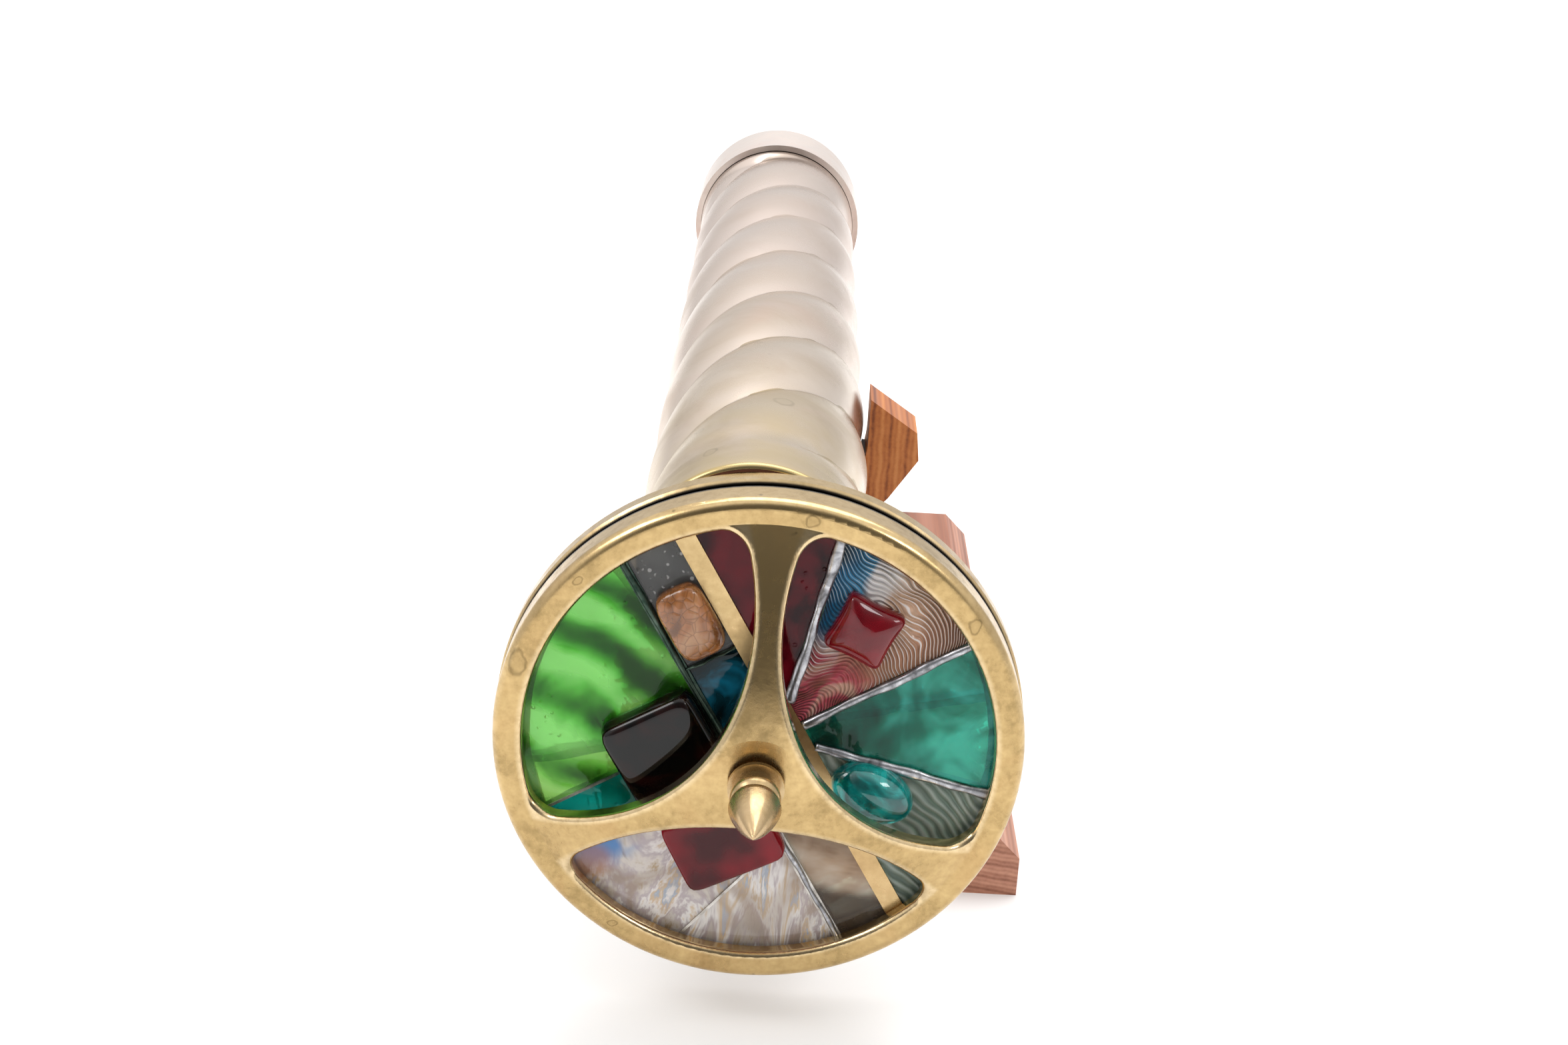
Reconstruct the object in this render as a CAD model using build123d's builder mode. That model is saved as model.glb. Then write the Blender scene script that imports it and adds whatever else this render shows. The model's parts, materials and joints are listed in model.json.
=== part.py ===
"""Brass kaleidoscope with two turning stained-glass wheels, lying in a wooden cradle.

Millimetres, +Z up. The origin is the middle of the base board's underside. The barrel lies along +Y:
the wheels are at its -Y end and the eyepiece is at its +Y end. Stations, the names that end in _S,
are depths along the barrel: 0 is the front wheel's rim face and 311 is the eyepiece's end.
"""

import os
from math import atan2, cos, degrees, radians, sin, sqrt

from build123d import *

os.makedirs("parts", exist_ok=True)

# ---- driving dimensions -------------------------------------------------------------------------
RIM_FACE_Y = -150.0  # front wheel's rim face
SPINDLE_X = -11.5
SPINDLE_Z = 60.0  # height of the wheels' centre over the table
BARREL_X = SPINDLE_X - 2.9  # the barrel lies a little to the left of straight above the spindle
BARREL_Z = SPINDLE_Z + 28.5

# stand
BASE_W = 92.0
BASE_L = 190.0
BASE_T = 15.0
BASE_CHAMFER = 6.0
CRADLE_T = 12.0
FRONT_CRADLE_S = 96.0  # station of the front cradle's front face
REAR_CRADLE_S = 196.0
COLUMN_HALF_W = 17.5
FELT_T = 0.7
BARREL_GAP = 0.3  # felt to barrel
SCREW_R = 1.9
SCREW_L = 34.0
SCREW_SPACING = 20.0

# barrel
CREST_R = 22.4
VALLEY_R = 20.7
BAND_R = 22.0
BORE_R = 19.9
TWIST_LEAD = 113.0
STARTS = 3
TUBE_FRONT_S = 14.2
FRONT_BAND_L = 13.0
TUBE_REAR_S = 303.0
REAR_BAND_R = 22.6
CAP_FRONT_S = 287.0
CAP_REAR_S = 311.0
CAP_R = 24.3
CAP_WALL = 1.6
CAP_END_T = 2.2
EYE_HOLE_R = 8.0
MIRROR_W = 29.0
MIRROR_T = 2.0
MIRROR_FRONT_S = 19.0
MIRROR_REAR_S = 298.0
MIRROR_RING_T = 4.0
FIT = 0.1

# spindle
SPINDLE_R = 2.0
RUNNING_FIT = 0.05
BUSH_R = 3.2
HUB_HOLE_R = 3.25
WASHER_T = 1.0
AXIAL_PLAY = 0.1
SADDLE_HALF_W = 6.0
SADDLE_L = 12.0
SPINDLE_NUT_AF = 7.0
SPINDLE_NUT_T = 3.2

# front wheel
WHEEL_R = 49.0
COVER_DEPTH = 7.4
COVER_T = 3.0
COVER_WALL = 2.8
RIM_FILLET = 2.0
DOME_R = 44.5  # where the flat rim face turns into the dome
DOME_MID_R = 27.0
DOME_MID_H = 8.0
HUB_FLAT_R = 8.5
HUB_H = 12.9
SPOKE_TILT = -1.5  # one spoke points up, leaning this many degrees
WINDOW_OUT_R = 43.4
WINDOW_IN_R = 44.0
WINDOW_IN_CENTRE = 53.8
WINDOW_CORNER_R = 5.0
WINDOW_EDGE_R = 1.1
GLASS_FRONT_S = 3.6
GLASS_T = 2.8
GLASS_R = 46.0
RING_T = 1.0
RING_IN_R = 42.6
BAR_ANGLE = 30.0  # direction of the brass bar's normal
BAR_IN = 5.1
BAR_OUT = 8.8
BAR_T = 1.2
SEAM_U = -5.4  # lead line on the other side of the hub, parallel to the bar
CAME_W = 1.6
CAME_PROUD = 0.4
PANE_R = 45.2  # the lead ring round the glass starts here
HUB_LEAD_R = 5.5  # lead collar round the bush

# rear wheel
REAR_WHEEL_R = 49.4
REAR_FRONT_S = 9.3
REAR_DEPTH = 4.5
REAR_WALL = 2.8
REAR_LIP = 1.8
REAR_LIP_T = 0.9
REAR_EDGE = 0.7
REAR_GLASS_T = 2.5
REAR_PANES = 6


# ---- placing ------------------------------------------------------------------------------------
def spindle_plane(s):
    """Plane square to the spindle, on its axis. Its x is +X, its y is +Z, and extrusion goes to -Y."""
    return Plane(origin=(SPINDLE_X, RIM_FACE_Y + s, SPINDLE_Z), x_dir=(1, 0, 0), z_dir=(0, -1, 0))


def barrel_plane(s):
    """The same plane with its origin on the barrel's axis."""
    return Plane(origin=(BARREL_X, RIM_FACE_Y + s, BARREL_Z), x_dir=(1, 0, 0), z_dir=(0, -1, 0))


def section_plane(x, z):
    """Plane through an axis along +Y, for profiles of (station, radius) that revolve about it."""
    return Plane(origin=(x, RIM_FACE_Y, z), x_dir=(0, 1, 0), z_dir=(1, 0, 0))


SPINDLE_SECTION = section_plane(SPINDLE_X, SPINDLE_Z)
BARREL_SECTION = section_plane(BARREL_X, BARREL_Z)
SPINDLE_AXIS = Axis((SPINDLE_X, 0, SPINDLE_Z), (0, 1, 0))
BARREL_AXIS = Axis((BARREL_X, 0, BARREL_Z), (0, 1, 0))


def polar(angle, radius):
    """Point of a wheel's face, by its angle from +X and its radius."""
    return (radius * cos(radians(angle)), radius * sin(radians(angle)))


def bar_point(u, v):
    """Point of the front wheel's glass, u across the brass bar and v along it."""
    across = polar(BAR_ANGLE, u)
    along = polar(BAR_ANGLE + 90, v)
    return (across[0] + along[0], across[1] + along[1])


def save(part, name):
    part.label = name
    export_step(part, f"parts/{name}.step")


def tube(plane, outer, inner, length):
    """Round tube that starts at the plane and runs towards +Y."""
    with BuildPart() as made:
        with BuildSketch(plane):
            Circle(outer)
            if inner:
                Circle(inner, mode=Mode.SUBTRACT)
        extrude(amount=-length)
    return made.part


# ---- stand --------------------------------------------------------------------------------------
CRADLE_R = CREST_R + BARREL_GAP + FELT_T
SCREW_HEAD_R = 3.8
SCREW_HEAD_H = 2.4
SCREW_STATIONS = (FRONT_CRADLE_S + CRADLE_T / 2, REAR_CRADLE_S + CRADLE_T / 2)
SCREW_SPOTS = [
    (BARREL_X + side * SCREW_SPACING / 2, RIM_FACE_Y + s) for s in SCREW_STATIONS for side in (-1, 1)
]

with BuildPart() as stand_base:
    with BuildSketch(Plane.XY):
        Rectangle(BASE_W, BASE_L)
    extrude(amount=BASE_T)
    long_top_edges = stand_base.edges().group_by(Axis.Z)[-1].filter_by(Axis.Y)
    chamfer(long_top_edges, BASE_CHAMFER)
    with Locations([(x, y, 0) for x, y in SCREW_SPOTS]):
        Cylinder(SCREW_R + FIT, 2 * BASE_T, mode=Mode.SUBTRACT)
        with Locations((0, 0, (SCREW_HEAD_H + FIT) / 2)):
            Cone(SCREW_HEAD_R + FIT, SCREW_R + FIT, SCREW_HEAD_H + FIT, mode=Mode.SUBTRACT)
save(stand_base.part, "stand_base")

# Outline of the front cradle from the barrel's axis, clockwise: a tall eared shoulder on the right
# that the barrel leans on, and a low lip on the left that it rolls against.
LIP_DROP = 14.8
FRONT_OUTLINE = [
    (CRADLE_R, 0.0),
    (CRADLE_R, 8.8),
    (34.0, 1.7),
    (34.7, -4.6),
    (28.6, -13.8),
    (COLUMN_HALF_W + 2.9, -22.9),
    (COLUMN_HALF_W + 2.9, BASE_T - BARREL_Z),
    (-COLUMN_HALF_W, BASE_T - BARREL_Z),
    (-COLUMN_HALF_W, -38.0),
    (-22.1, -32.0),
    (-22.1, -19.5),
    (-sqrt(CRADLE_R**2 - LIP_DROP**2), -LIP_DROP),
]


def screw_pilots(s):
    """The two screws' holes up into a cradle board."""
    spots = [(x, y, BASE_T) for x, y in SCREW_SPOTS if abs(y - RIM_FACE_Y - s) < CRADLE_T]
    with Locations(spots):
        Cylinder(SCREW_R + FIT, 2 * (SCREW_L - BASE_T + 1), mode=Mode.SUBTRACT)


with BuildPart() as front_cradle:
    with BuildSketch(barrel_plane(FRONT_CRADLE_S)):
        with BuildLine():
            Polyline(FRONT_OUTLINE)
            ThreePointArc(FRONT_OUTLINE[-1], (0, -CRADLE_R), FRONT_OUTLINE[0])
        make_face()
    extrude(amount=-CRADLE_T)
    screw_pilots(FRONT_CRADLE_S)
save(front_cradle.part, "front_cradle")

REAR_HALF_W = 17.5
REAR_LIP_Z = -sqrt(CRADLE_R**2 - REAR_HALF_W**2)
with BuildPart() as rear_cradle:
    with BuildSketch(barrel_plane(REAR_CRADLE_S)):
        with BuildLine():
            Polyline(
                (REAR_HALF_W, REAR_LIP_Z),
                (REAR_HALF_W, BASE_T - BARREL_Z),
                (-REAR_HALF_W, BASE_T - BARREL_Z),
                (-REAR_HALF_W, REAR_LIP_Z),
            )
            ThreePointArc((-REAR_HALF_W, REAR_LIP_Z), (0, -CRADLE_R), (REAR_HALF_W, REAR_LIP_Z))
        make_face()
    extrude(amount=-CRADLE_T)
    screw_pilots(REAR_CRADLE_S)
save(rear_cradle.part, "rear_cradle")


def felt_strip(s, start, end):
    """Felt lining of a notch, from one angle to another, counted from +X about the barrel's axis."""
    outer, inner = CRADLE_R, CRADLE_R - FELT_T
    middle = (start + end) / 2
    with BuildPart() as felt:
        with BuildSketch(barrel_plane(s + 1)):
            with BuildLine():
                ThreePointArc(polar(start, outer), polar(middle, outer), polar(end, outer))
                Line(polar(end, outer), polar(end, inner))
                ThreePointArc(polar(end, inner), polar(middle, inner), polar(start, inner))
                Line(polar(start, inner), polar(start, outer))
            make_face()
        extrude(amount=-(CRADLE_T - 2))
    return felt.part


save(felt_strip(FRONT_CRADLE_S, 222, 350), "front_felt")
save(felt_strip(REAR_CRADLE_S, 226, 314), "rear_felt")

with BuildPart() as cradle_screws:
    with Locations([(x, y, 0) for x, y in SCREW_SPOTS]):
        with Locations((0, 0, SCREW_HEAD_H / 2)):
            Cone(SCREW_HEAD_R, SCREW_R, SCREW_HEAD_H)
        with Locations((0, 0, SCREW_L / 2)):
            Cylinder(SCREW_R, SCREW_L)
save(cradle_screws.part, "cradle_screws")

# ---- barrel -------------------------------------------------------------------------------------
TWIST_START_S = TUBE_FRONT_S + FRONT_BAND_L
TWIST_END_S = CAP_FRONT_S - 1.0
TWIST_L = TWIST_END_S - TWIST_START_S
VALLEY_AT_START = 90 - 13.0  # angle from +X of one valley where the twist starts

with BuildSketch(barrel_plane(TWIST_START_S)) as rope_section:
    with BuildLine():
        for lobe in range(STARTS):
            first = VALLEY_AT_START + lobe * 360 / STARTS
            ThreePointArc(
                polar(first, VALLEY_R),
                polar(first + 180 / STARTS, CREST_R),
                polar(first + 360 / STARTS, VALLEY_R),
            )
    make_face()

with BuildPart() as barrel_tube:
    add(
        Solid.extrude_linear_with_rotation(
            rope_section.sketch.faces()[0],
            center=(BARREL_X, RIM_FACE_Y + TWIST_START_S, BARREL_Z),
            normal=(0, TWIST_L, 0),
            angle=360 * TWIST_L / TWIST_LEAD,
        )
    )
    with BuildSketch(barrel_plane(TUBE_FRONT_S)):
        Circle(BAND_R)
    extrude(amount=-FRONT_BAND_L)
    with BuildSketch(barrel_plane(TWIST_END_S)):
        Circle(REAR_BAND_R)
    extrude(amount=-(TUBE_REAR_S - TWIST_END_S))
    with BuildSketch(barrel_plane(TUBE_FRONT_S)):
        Circle(BORE_R)
    extrude(amount=-(TUBE_REAR_S - TUBE_FRONT_S), mode=Mode.SUBTRACT)
save(barrel_tube.part, "barrel_tube")

# Mirror system: three strips in a triangle, packed by a ring near each end.
MIRROR_IN_R = MIRROR_W / (2 * sqrt(3))
MIRROR_CLEAR = 0.1
for name, angle in (("mirror_base", 270), ("mirror_right", 30), ("mirror_left", 150)):
    with BuildPart() as mirror:
        with BuildSketch(barrel_plane(MIRROR_FRONT_S)):
            with Locations(polar(angle, MIRROR_IN_R + MIRROR_T / 2)):
                Rectangle(MIRROR_T, MIRROR_W - 2 * MIRROR_CLEAR, rotation=angle)
        extrude(amount=-(MIRROR_REAR_S - MIRROR_FRONT_S))
    save(mirror.part, name)

for name, s in (
    ("mirror_ring_front", MIRROR_FRONT_S + 1),
    ("mirror_ring_rear", MIRROR_REAR_S - MIRROR_RING_T - 1),
):
    with BuildPart() as mirror_ring:
        with BuildSketch(barrel_plane(s)):
            Circle(BORE_R - FIT)
            for angle in (270, 30, 150):
                with Locations(polar(angle, (MIRROR_IN_R + MIRROR_T + FIT) / 2)):
                    Rectangle(MIRROR_IN_R + MIRROR_T + FIT, MIRROR_W, rotation=angle, mode=Mode.SUBTRACT)
        extrude(amount=-MIRROR_RING_T)
    save(mirror_ring.part, name)

OBJECT_RING_S = TUBE_FRONT_S + 0.8
save(tube(barrel_plane(OBJECT_RING_S), BORE_R - FIT, BORE_R - 2.6, 1.5), "object_ring")
save(tube(barrel_plane(OBJECT_RING_S + 1.5 + FIT), BORE_R - FIT, 0, 2.0), "object_window")

with BuildPart() as eyepiece_cap:
    with BuildSketch(BARREL_SECTION):
        with BuildLine():
            Polyline(
                (CAP_REAR_S, EYE_HOLE_R + 1.5),
                (CAP_REAR_S - 1.5, EYE_HOLE_R),
                (CAP_REAR_S - CAP_END_T, EYE_HOLE_R),
                (CAP_REAR_S - CAP_END_T, CAP_R - CAP_WALL),
                (CAP_FRONT_S, CAP_R - CAP_WALL),
                (CAP_FRONT_S, CAP_R),
                (CAP_REAR_S, CAP_R),
                close=True,
            )
        make_face()
    revolve(axis=BARREL_AXIS)
    end_edges = eyepiece_cap.edges().filter_by(GeomType.CIRCLE).group_by(Axis.Y)[-1]
    fillet(end_edges.sort_by(SortBy.RADIUS)[-1], 1.4)
save(eyepiece_cap.part, "eyepiece_cap")

LENS_R = 16.0
LENS_EDGE_T = 1.6
LENS_CROWN = 1.4
LENS_REAR_S = CAP_REAR_S - CAP_END_T - FIT
LENS_APEX_S = LENS_REAR_S - LENS_EDGE_T - LENS_CROWN
LENS_CURVE = (LENS_R**2 + LENS_CROWN**2) / (2 * LENS_CROWN)
with BuildPart() as eye_lens:
    with BuildSketch(BARREL_SECTION):
        with BuildLine():
            Polyline(
                (LENS_APEX_S, 0),
                (LENS_REAR_S, 0),
                (LENS_REAR_S, LENS_R),
                (LENS_REAR_S - LENS_EDGE_T, LENS_R),
            )
            ThreePointArc(
                (LENS_REAR_S - LENS_EDGE_T, LENS_R),
                (LENS_APEX_S + LENS_CURVE - sqrt(LENS_CURVE**2 - LENS_R**2 / 4), LENS_R / 2),
                (LENS_APEX_S, 0),
            )
        make_face()
    revolve(axis=BARREL_AXIS)
save(eye_lens.part, "eye_lens")

EYE_RING_S = TUBE_REAR_S + FIT
with BuildPart() as eye_retainer:
    with BuildSketch(BARREL_SECTION):
        with BuildLine():
            Polyline(
                (EYE_RING_S, LENS_R - 2.5),
                (EYE_RING_S + 1.5, LENS_R - 2.5),
                (EYE_RING_S + 1.5, LENS_R + FIT),
                (LENS_REAR_S, LENS_R + FIT),
                (LENS_REAR_S, CAP_R - CAP_WALL - FIT),
                (EYE_RING_S, CAP_R - CAP_WALL - FIT),
                close=True,
            )
        make_face()
    revolve(axis=BARREL_AXIS)
save(eye_retainer.part, "eye_retainer")

# ---- spindle and what it carries ----------------------------------------------------------------
FRONT_BUSH_S = -(HUB_H + 1.3)
FRONT_BUSH_END_S = COVER_DEPTH + 0.2
MID_WASHER_S = FRONT_BUSH_END_S + AXIAL_PLAY
REAR_BUSH_S = MID_WASHER_S + WASHER_T + AXIAL_PLAY
REAR_BUSH_END_S = REAR_FRONT_S + REAR_DEPTH + 0.2
REAR_WASHER_S = REAR_BUSH_END_S + AXIAL_PLAY
SADDLE_S = REAR_WASHER_S + WASHER_T
NUT_S = SADDLE_S + SADDLE_L
FRONT_WASHER_S = FRONT_BUSH_S - AXIAL_PLAY - WASHER_T
WASHER_R = 5.1

save(tube(spindle_plane(FRONT_WASHER_S), WASHER_R, SPINDLE_R + RUNNING_FIT, WASHER_T), "front_washer")
save(tube(spindle_plane(MID_WASHER_S), WASHER_R, SPINDLE_R + RUNNING_FIT, WASHER_T), "mid_washer")
save(tube(spindle_plane(REAR_WASHER_S), WASHER_R, SPINDLE_R + RUNNING_FIT, WASHER_T), "rear_washer")

with BuildPart() as spindle_saddle:
    with BuildSketch(spindle_plane(SADDLE_S)):
        with BuildLine():
            Polyline(
                (-SADDLE_HALF_W, 0),
                (-SADDLE_HALF_W, BARREL_Z - SPINDLE_Z - BAND_R + 2),
                (SADDLE_HALF_W, BARREL_Z - SPINDLE_Z - BAND_R + 2),
                (SADDLE_HALF_W, 0),
            )
            ThreePointArc((SADDLE_HALF_W, 0), (0, -SADDLE_HALF_W), (-SADDLE_HALF_W, 0))
        make_face()
        Circle(SPINDLE_R + RUNNING_FIT, mode=Mode.SUBTRACT)
        with Locations((BARREL_X - SPINDLE_X, BARREL_Z - SPINDLE_Z)):
            Circle(BAND_R, mode=Mode.SUBTRACT)
    extrude(amount=-SADDLE_L)
save(spindle_saddle.part, "spindle_saddle")

with BuildPart() as spindle_nut:
    with BuildSketch(spindle_plane(NUT_S + FIT)):
        RegularPolygon(SPINDLE_NUT_AF / 2, 6, major_radius=False)
        Circle(SPINDLE_R + RUNNING_FIT, mode=Mode.SUBTRACT)
    extrude(amount=-SPINDLE_NUT_T)
save(spindle_nut.part, "spindle_nut")

SPINDLE_FRONT_S = FRONT_WASHER_S - 10.0
SPINDLE_REAR_S = NUT_S + SPINDLE_NUT_T + 2.0
with BuildPart() as spindle:
    with BuildSketch(spindle_plane(SPINDLE_FRONT_S)):
        Circle(SPINDLE_R)
    extrude(amount=-(SPINDLE_REAR_S - SPINDLE_FRONT_S))
    chamfer(spindle.edges().filter_by(GeomType.CIRCLE), 0.4)
save(spindle.part, "spindle")

# Turned finial nut: collar, bead, groove and a pointed bullet, towards -Y from the front washer.
FINIAL_L = 17.2
FINIAL_S = FRONT_WASHER_S
with BuildPart() as finial_nut:
    with BuildSketch(SPINDLE_SECTION):
        with BuildLine():
            Polyline(
                (FINIAL_S - 10.6, 0),
                (FINIAL_S - 10.6, SPINDLE_R + RUNNING_FIT),
                (FINIAL_S, SPINDLE_R + RUNNING_FIT),
                (FINIAL_S, 4.0),
                (FINIAL_S - 2.0, 4.0),
            )
            ThreePointArc((FINIAL_S - 2.0, 4.0), (FINIAL_S - 3.3, 4.55), (FINIAL_S - 4.6, 4.1))
            Line((FINIAL_S - 4.6, 4.1), (FINIAL_S - 5.2, 3.7))
            ThreePointArc((FINIAL_S - 5.2, 3.7), (FINIAL_S - 6.0, 4.45), (FINIAL_S - 7.4, 4.6))
            ThreePointArc(
                (FINIAL_S - 7.4, 4.6), (FINIAL_S - 12.3, 2.9), (FINIAL_S - FINIAL_L + 0.3, 0.5)
            )
            Line((FINIAL_S - FINIAL_L + 0.3, 0.5), (FINIAL_S - FINIAL_L, 0.3))
            Polyline((FINIAL_S - FINIAL_L, 0.3), (FINIAL_S - FINIAL_L, 0), (FINIAL_S - 10.6, 0))
        make_face()
    revolve(axis=SPINDLE_AXIS)
save(finial_nut.part, "finial_nut")

# ---- front wheel --------------------------------------------------------------------------------
with BuildPart() as front_cover:
    with BuildSketch(SPINDLE_SECTION):
        with BuildLine():
            Line((-HUB_H, HUB_HOLE_R), (-HUB_H, HUB_FLAT_R))
            ThreePointArc((-HUB_H, HUB_FLAT_R), (-DOME_MID_H, DOME_MID_R), (0, DOME_R))
            Line((0, DOME_R), (0, WHEEL_R - RIM_FILLET))
            RadiusArc((0, WHEEL_R - RIM_FILLET), (RIM_FILLET, WHEEL_R), RIM_FILLET)
            Polyline(
                (RIM_FILLET, WHEEL_R),
                (COVER_DEPTH, WHEEL_R),
                (COVER_DEPTH, WHEEL_R - COVER_WALL),
                (COVER_T, WHEEL_R - COVER_WALL),
                (COVER_T, DOME_R - 0.8),
            )
            ThreePointArc(
                (COVER_T, DOME_R - 0.8),
                (COVER_T - DOME_MID_H + 0.2, DOME_MID_R - 0.8),
                (COVER_T - HUB_H, HUB_FLAT_R),
            )
            Polyline((COVER_T - HUB_H, HUB_FLAT_R), (COVER_T - HUB_H, HUB_HOLE_R), (-HUB_H, HUB_HOLE_R))
        make_face()
    revolve(axis=SPINDLE_AXIS)
    for window in range(3):
        centre_angle = 30 + SPOKE_TILT + 120 * window
        with BuildSketch(spindle_plane(COVER_DEPTH)) as window_shape:
            Circle(WINDOW_OUT_R)
            with Locations(polar(centre_angle, WINDOW_IN_CENTRE)):
                Circle(WINDOW_IN_R, mode=Mode.INTERSECT)
            fillet(window_shape.vertices(), WINDOW_CORNER_R)
        extrude(amount=COVER_DEPTH + HUB_H + 5, mode=Mode.SUBTRACT)
    dome_face = front_cover.faces().filter_by(GeomType.REVOLUTION).sort_by(SortBy.AREA)[-1]
    fillet(dome_face.edges().filter_by(GeomType.BSPLINE), WINDOW_EDGE_R)
save(front_cover.part, "front_cover")

save(
    tube(spindle_plane(FRONT_BUSH_S), BUSH_R, SPINDLE_R + RUNNING_FIT, FRONT_BUSH_END_S - FRONT_BUSH_S),
    "front_bush",
)
GLASS_BACK_S = GLASS_FRONT_S + GLASS_T
save(tube(spindle_plane(GLASS_BACK_S), GLASS_R, RING_IN_R, RING_T), "front_retaining_ring")

# Lead lines of the front wheel's glass: from a point, to a point, each far end past the disc's edge.
FAR = 60.0
FOCUS = (3.6, 1.3)  # the point that the lines on the right run out from
RADIALS = (76.9, 31.0, -13.6)
PEARL_EDGE_ANGLE = 209.0


def radial(angle, distance):
    """Point on a line out from the focus, by its angle and its distance."""
    ahead = polar(angle, distance)
    return (FOCUS[0] + ahead[0], FOCUS[1] + ahead[1])


def on_bar(angle):
    """Where the line out from the focus at this angle crosses the bar's outer edge."""
    across = FOCUS[0] * cos(radians(BAR_ANGLE)) + FOCUS[1] * sin(radians(BAR_ANGLE))
    return radial(angle, (BAR_OUT - across) / cos(radians(angle - BAR_ANGLE)))


SEAM_TOP = bar_point(SEAM_U, FAR)
SEAM_LOW = bar_point(SEAM_U, -FAR)
TEAL_START = bar_point(SEAM_U, 6.2)
TEAL_END = (-55.0, -25.6)
PEARL_START = bar_point(SEAM_U, -6.0)
PEARL_END = polar(PEARL_EDGE_ANGLE, FAR)
CRACK_START = bar_point(SEAM_U, -20.2)
CRACK_END = (-24.0, -54.6)
BAND_CUT_TOP = (bar_point(SEAM_U, 19.0), bar_point(BAR_IN, 19.0))
BAND_CUT_LOW = (bar_point(SEAM_U, -2.0), bar_point(BAR_IN, -2.0))
LEAD_LINES = [(on_bar(a), radial(a, FAR), CAME_W) for a in RADIALS]
LEAD_LINES += [(SEAM_LOW, SEAM_TOP, CAME_W)]
LEAD_LINES += [(TEAL_START, TEAL_END, 0.5), (PEARL_START, PEARL_END, CAME_W), (CRACK_START, CRACK_END, 0.5)]
LEAD_LINES += [(*BAND_CUT_TOP, 0.5), (*BAND_CUT_LOW, CAME_W)]


def lead_strips(mode):
    """Draw every lead line of the front wheel, and the ring of lead round its glass."""
    for start, end, width in LEAD_LINES:
        run, rise = end[0] - start[0], end[1] - start[1]
        with Locations(((start[0] + end[0]) / 2, (start[1] + end[1]) / 2)):
            Rectangle(sqrt(run**2 + rise**2), width, rotation=degrees(atan2(rise, run)), mode=mode)


def bar_strip(mode):
    """Draw the brass bar."""
    with Locations(bar_point((BAR_IN + BAR_OUT) / 2, 0)):
        Rectangle(BAR_OUT - BAR_IN, 2 * FAR, rotation=BAR_ANGLE, mode=mode)


with BuildPart() as front_leads:
    with BuildSketch(spindle_plane(GLASS_FRONT_S - CAME_PROUD)):
        lead_strips(Mode.ADD)
        Circle(HUB_LEAD_R)
        bar_strip(Mode.SUBTRACT)
        Circle(PANE_R, mode=Mode.INTERSECT)
        Circle(BUSH_R + FIT, mode=Mode.SUBTRACT)
    extrude(amount=-(GLASS_T + CAME_PROUD))
    with BuildSketch(spindle_plane(GLASS_FRONT_S - CAME_PROUD)):
        Circle(GLASS_R - FIT)
        Circle(PANE_R, mode=Mode.SUBTRACT)
    extrude(amount=-(GLASS_T + CAME_PROUD))
save(front_leads.part, "front_leads")

TOP_LINE, MIDDLE_LINE, LOW_LINE = RADIALS
PANES = {
    "pane_wine": [on_bar(TOP_LINE), radial(TOP_LINE, FAR), polar(100, FAR), bar_point(BAR_OUT, FAR)],
    "pane_peacock": [
        on_bar(TOP_LINE),
        radial(TOP_LINE, FAR),
        polar(54, 2 * FAR),
        radial(MIDDLE_LINE, FAR),
        on_bar(MIDDLE_LINE),
    ],
    "pane_sea_green": [
        on_bar(MIDDLE_LINE),
        radial(MIDDLE_LINE, FAR),
        polar(9, 2 * FAR),
        radial(LOW_LINE, FAR),
        on_bar(LOW_LINE),
    ],
    "pane_grey_ripple": [
        on_bar(LOW_LINE),
        radial(LOW_LINE, FAR),
        polar(-36, 2 * FAR),
        bar_point(BAR_OUT, -FAR),
    ],
    "pane_seedy": [*BAND_CUT_TOP, bar_point(BAR_IN, FAR), SEAM_TOP],
    "pane_teal_swirl": [*BAND_CUT_TOP, BAND_CUT_LOW[1], BAND_CUT_LOW[0]],
    "pane_peach": [*BAND_CUT_LOW, bar_point(BAR_IN, -FAR), SEAM_LOW],
    "pane_apple_green": [TEAL_START, SEAM_TOP, polar(150, 2 * FAR), TEAL_END],
    "pane_teal": [TEAL_START, PEARL_START, PEARL_END, TEAL_END],
    "pane_pearl_left": [PEARL_START, CRACK_START, CRACK_END, polar(225, 2 * FAR), PEARL_END],
    "pane_pearl_right": [CRACK_START, SEAM_LOW, polar(265, 2 * FAR), CRACK_END],
}
for name, corners in PANES.items():
    with BuildPart() as pane:
        with BuildSketch(spindle_plane(GLASS_FRONT_S)):
            with BuildLine():
                Polyline(*corners, close=True)
            make_face()
            Circle(PANE_R, mode=Mode.INTERSECT)
            Circle(HUB_LEAD_R, mode=Mode.SUBTRACT)
            lead_strips(Mode.SUBTRACT)
        extrude(amount=-GLASS_T)
    save(pane.part, name)

with BuildPart() as brass_bar:
    with BuildSketch(spindle_plane(GLASS_FRONT_S - CAME_PROUD)):
        bar_strip(Mode.ADD)
        Circle(PANE_R, mode=Mode.INTERSECT)
    extrude(amount=-(GLASS_T + CAME_PROUD))
save(brass_bar.part, "brass_bar")

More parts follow.
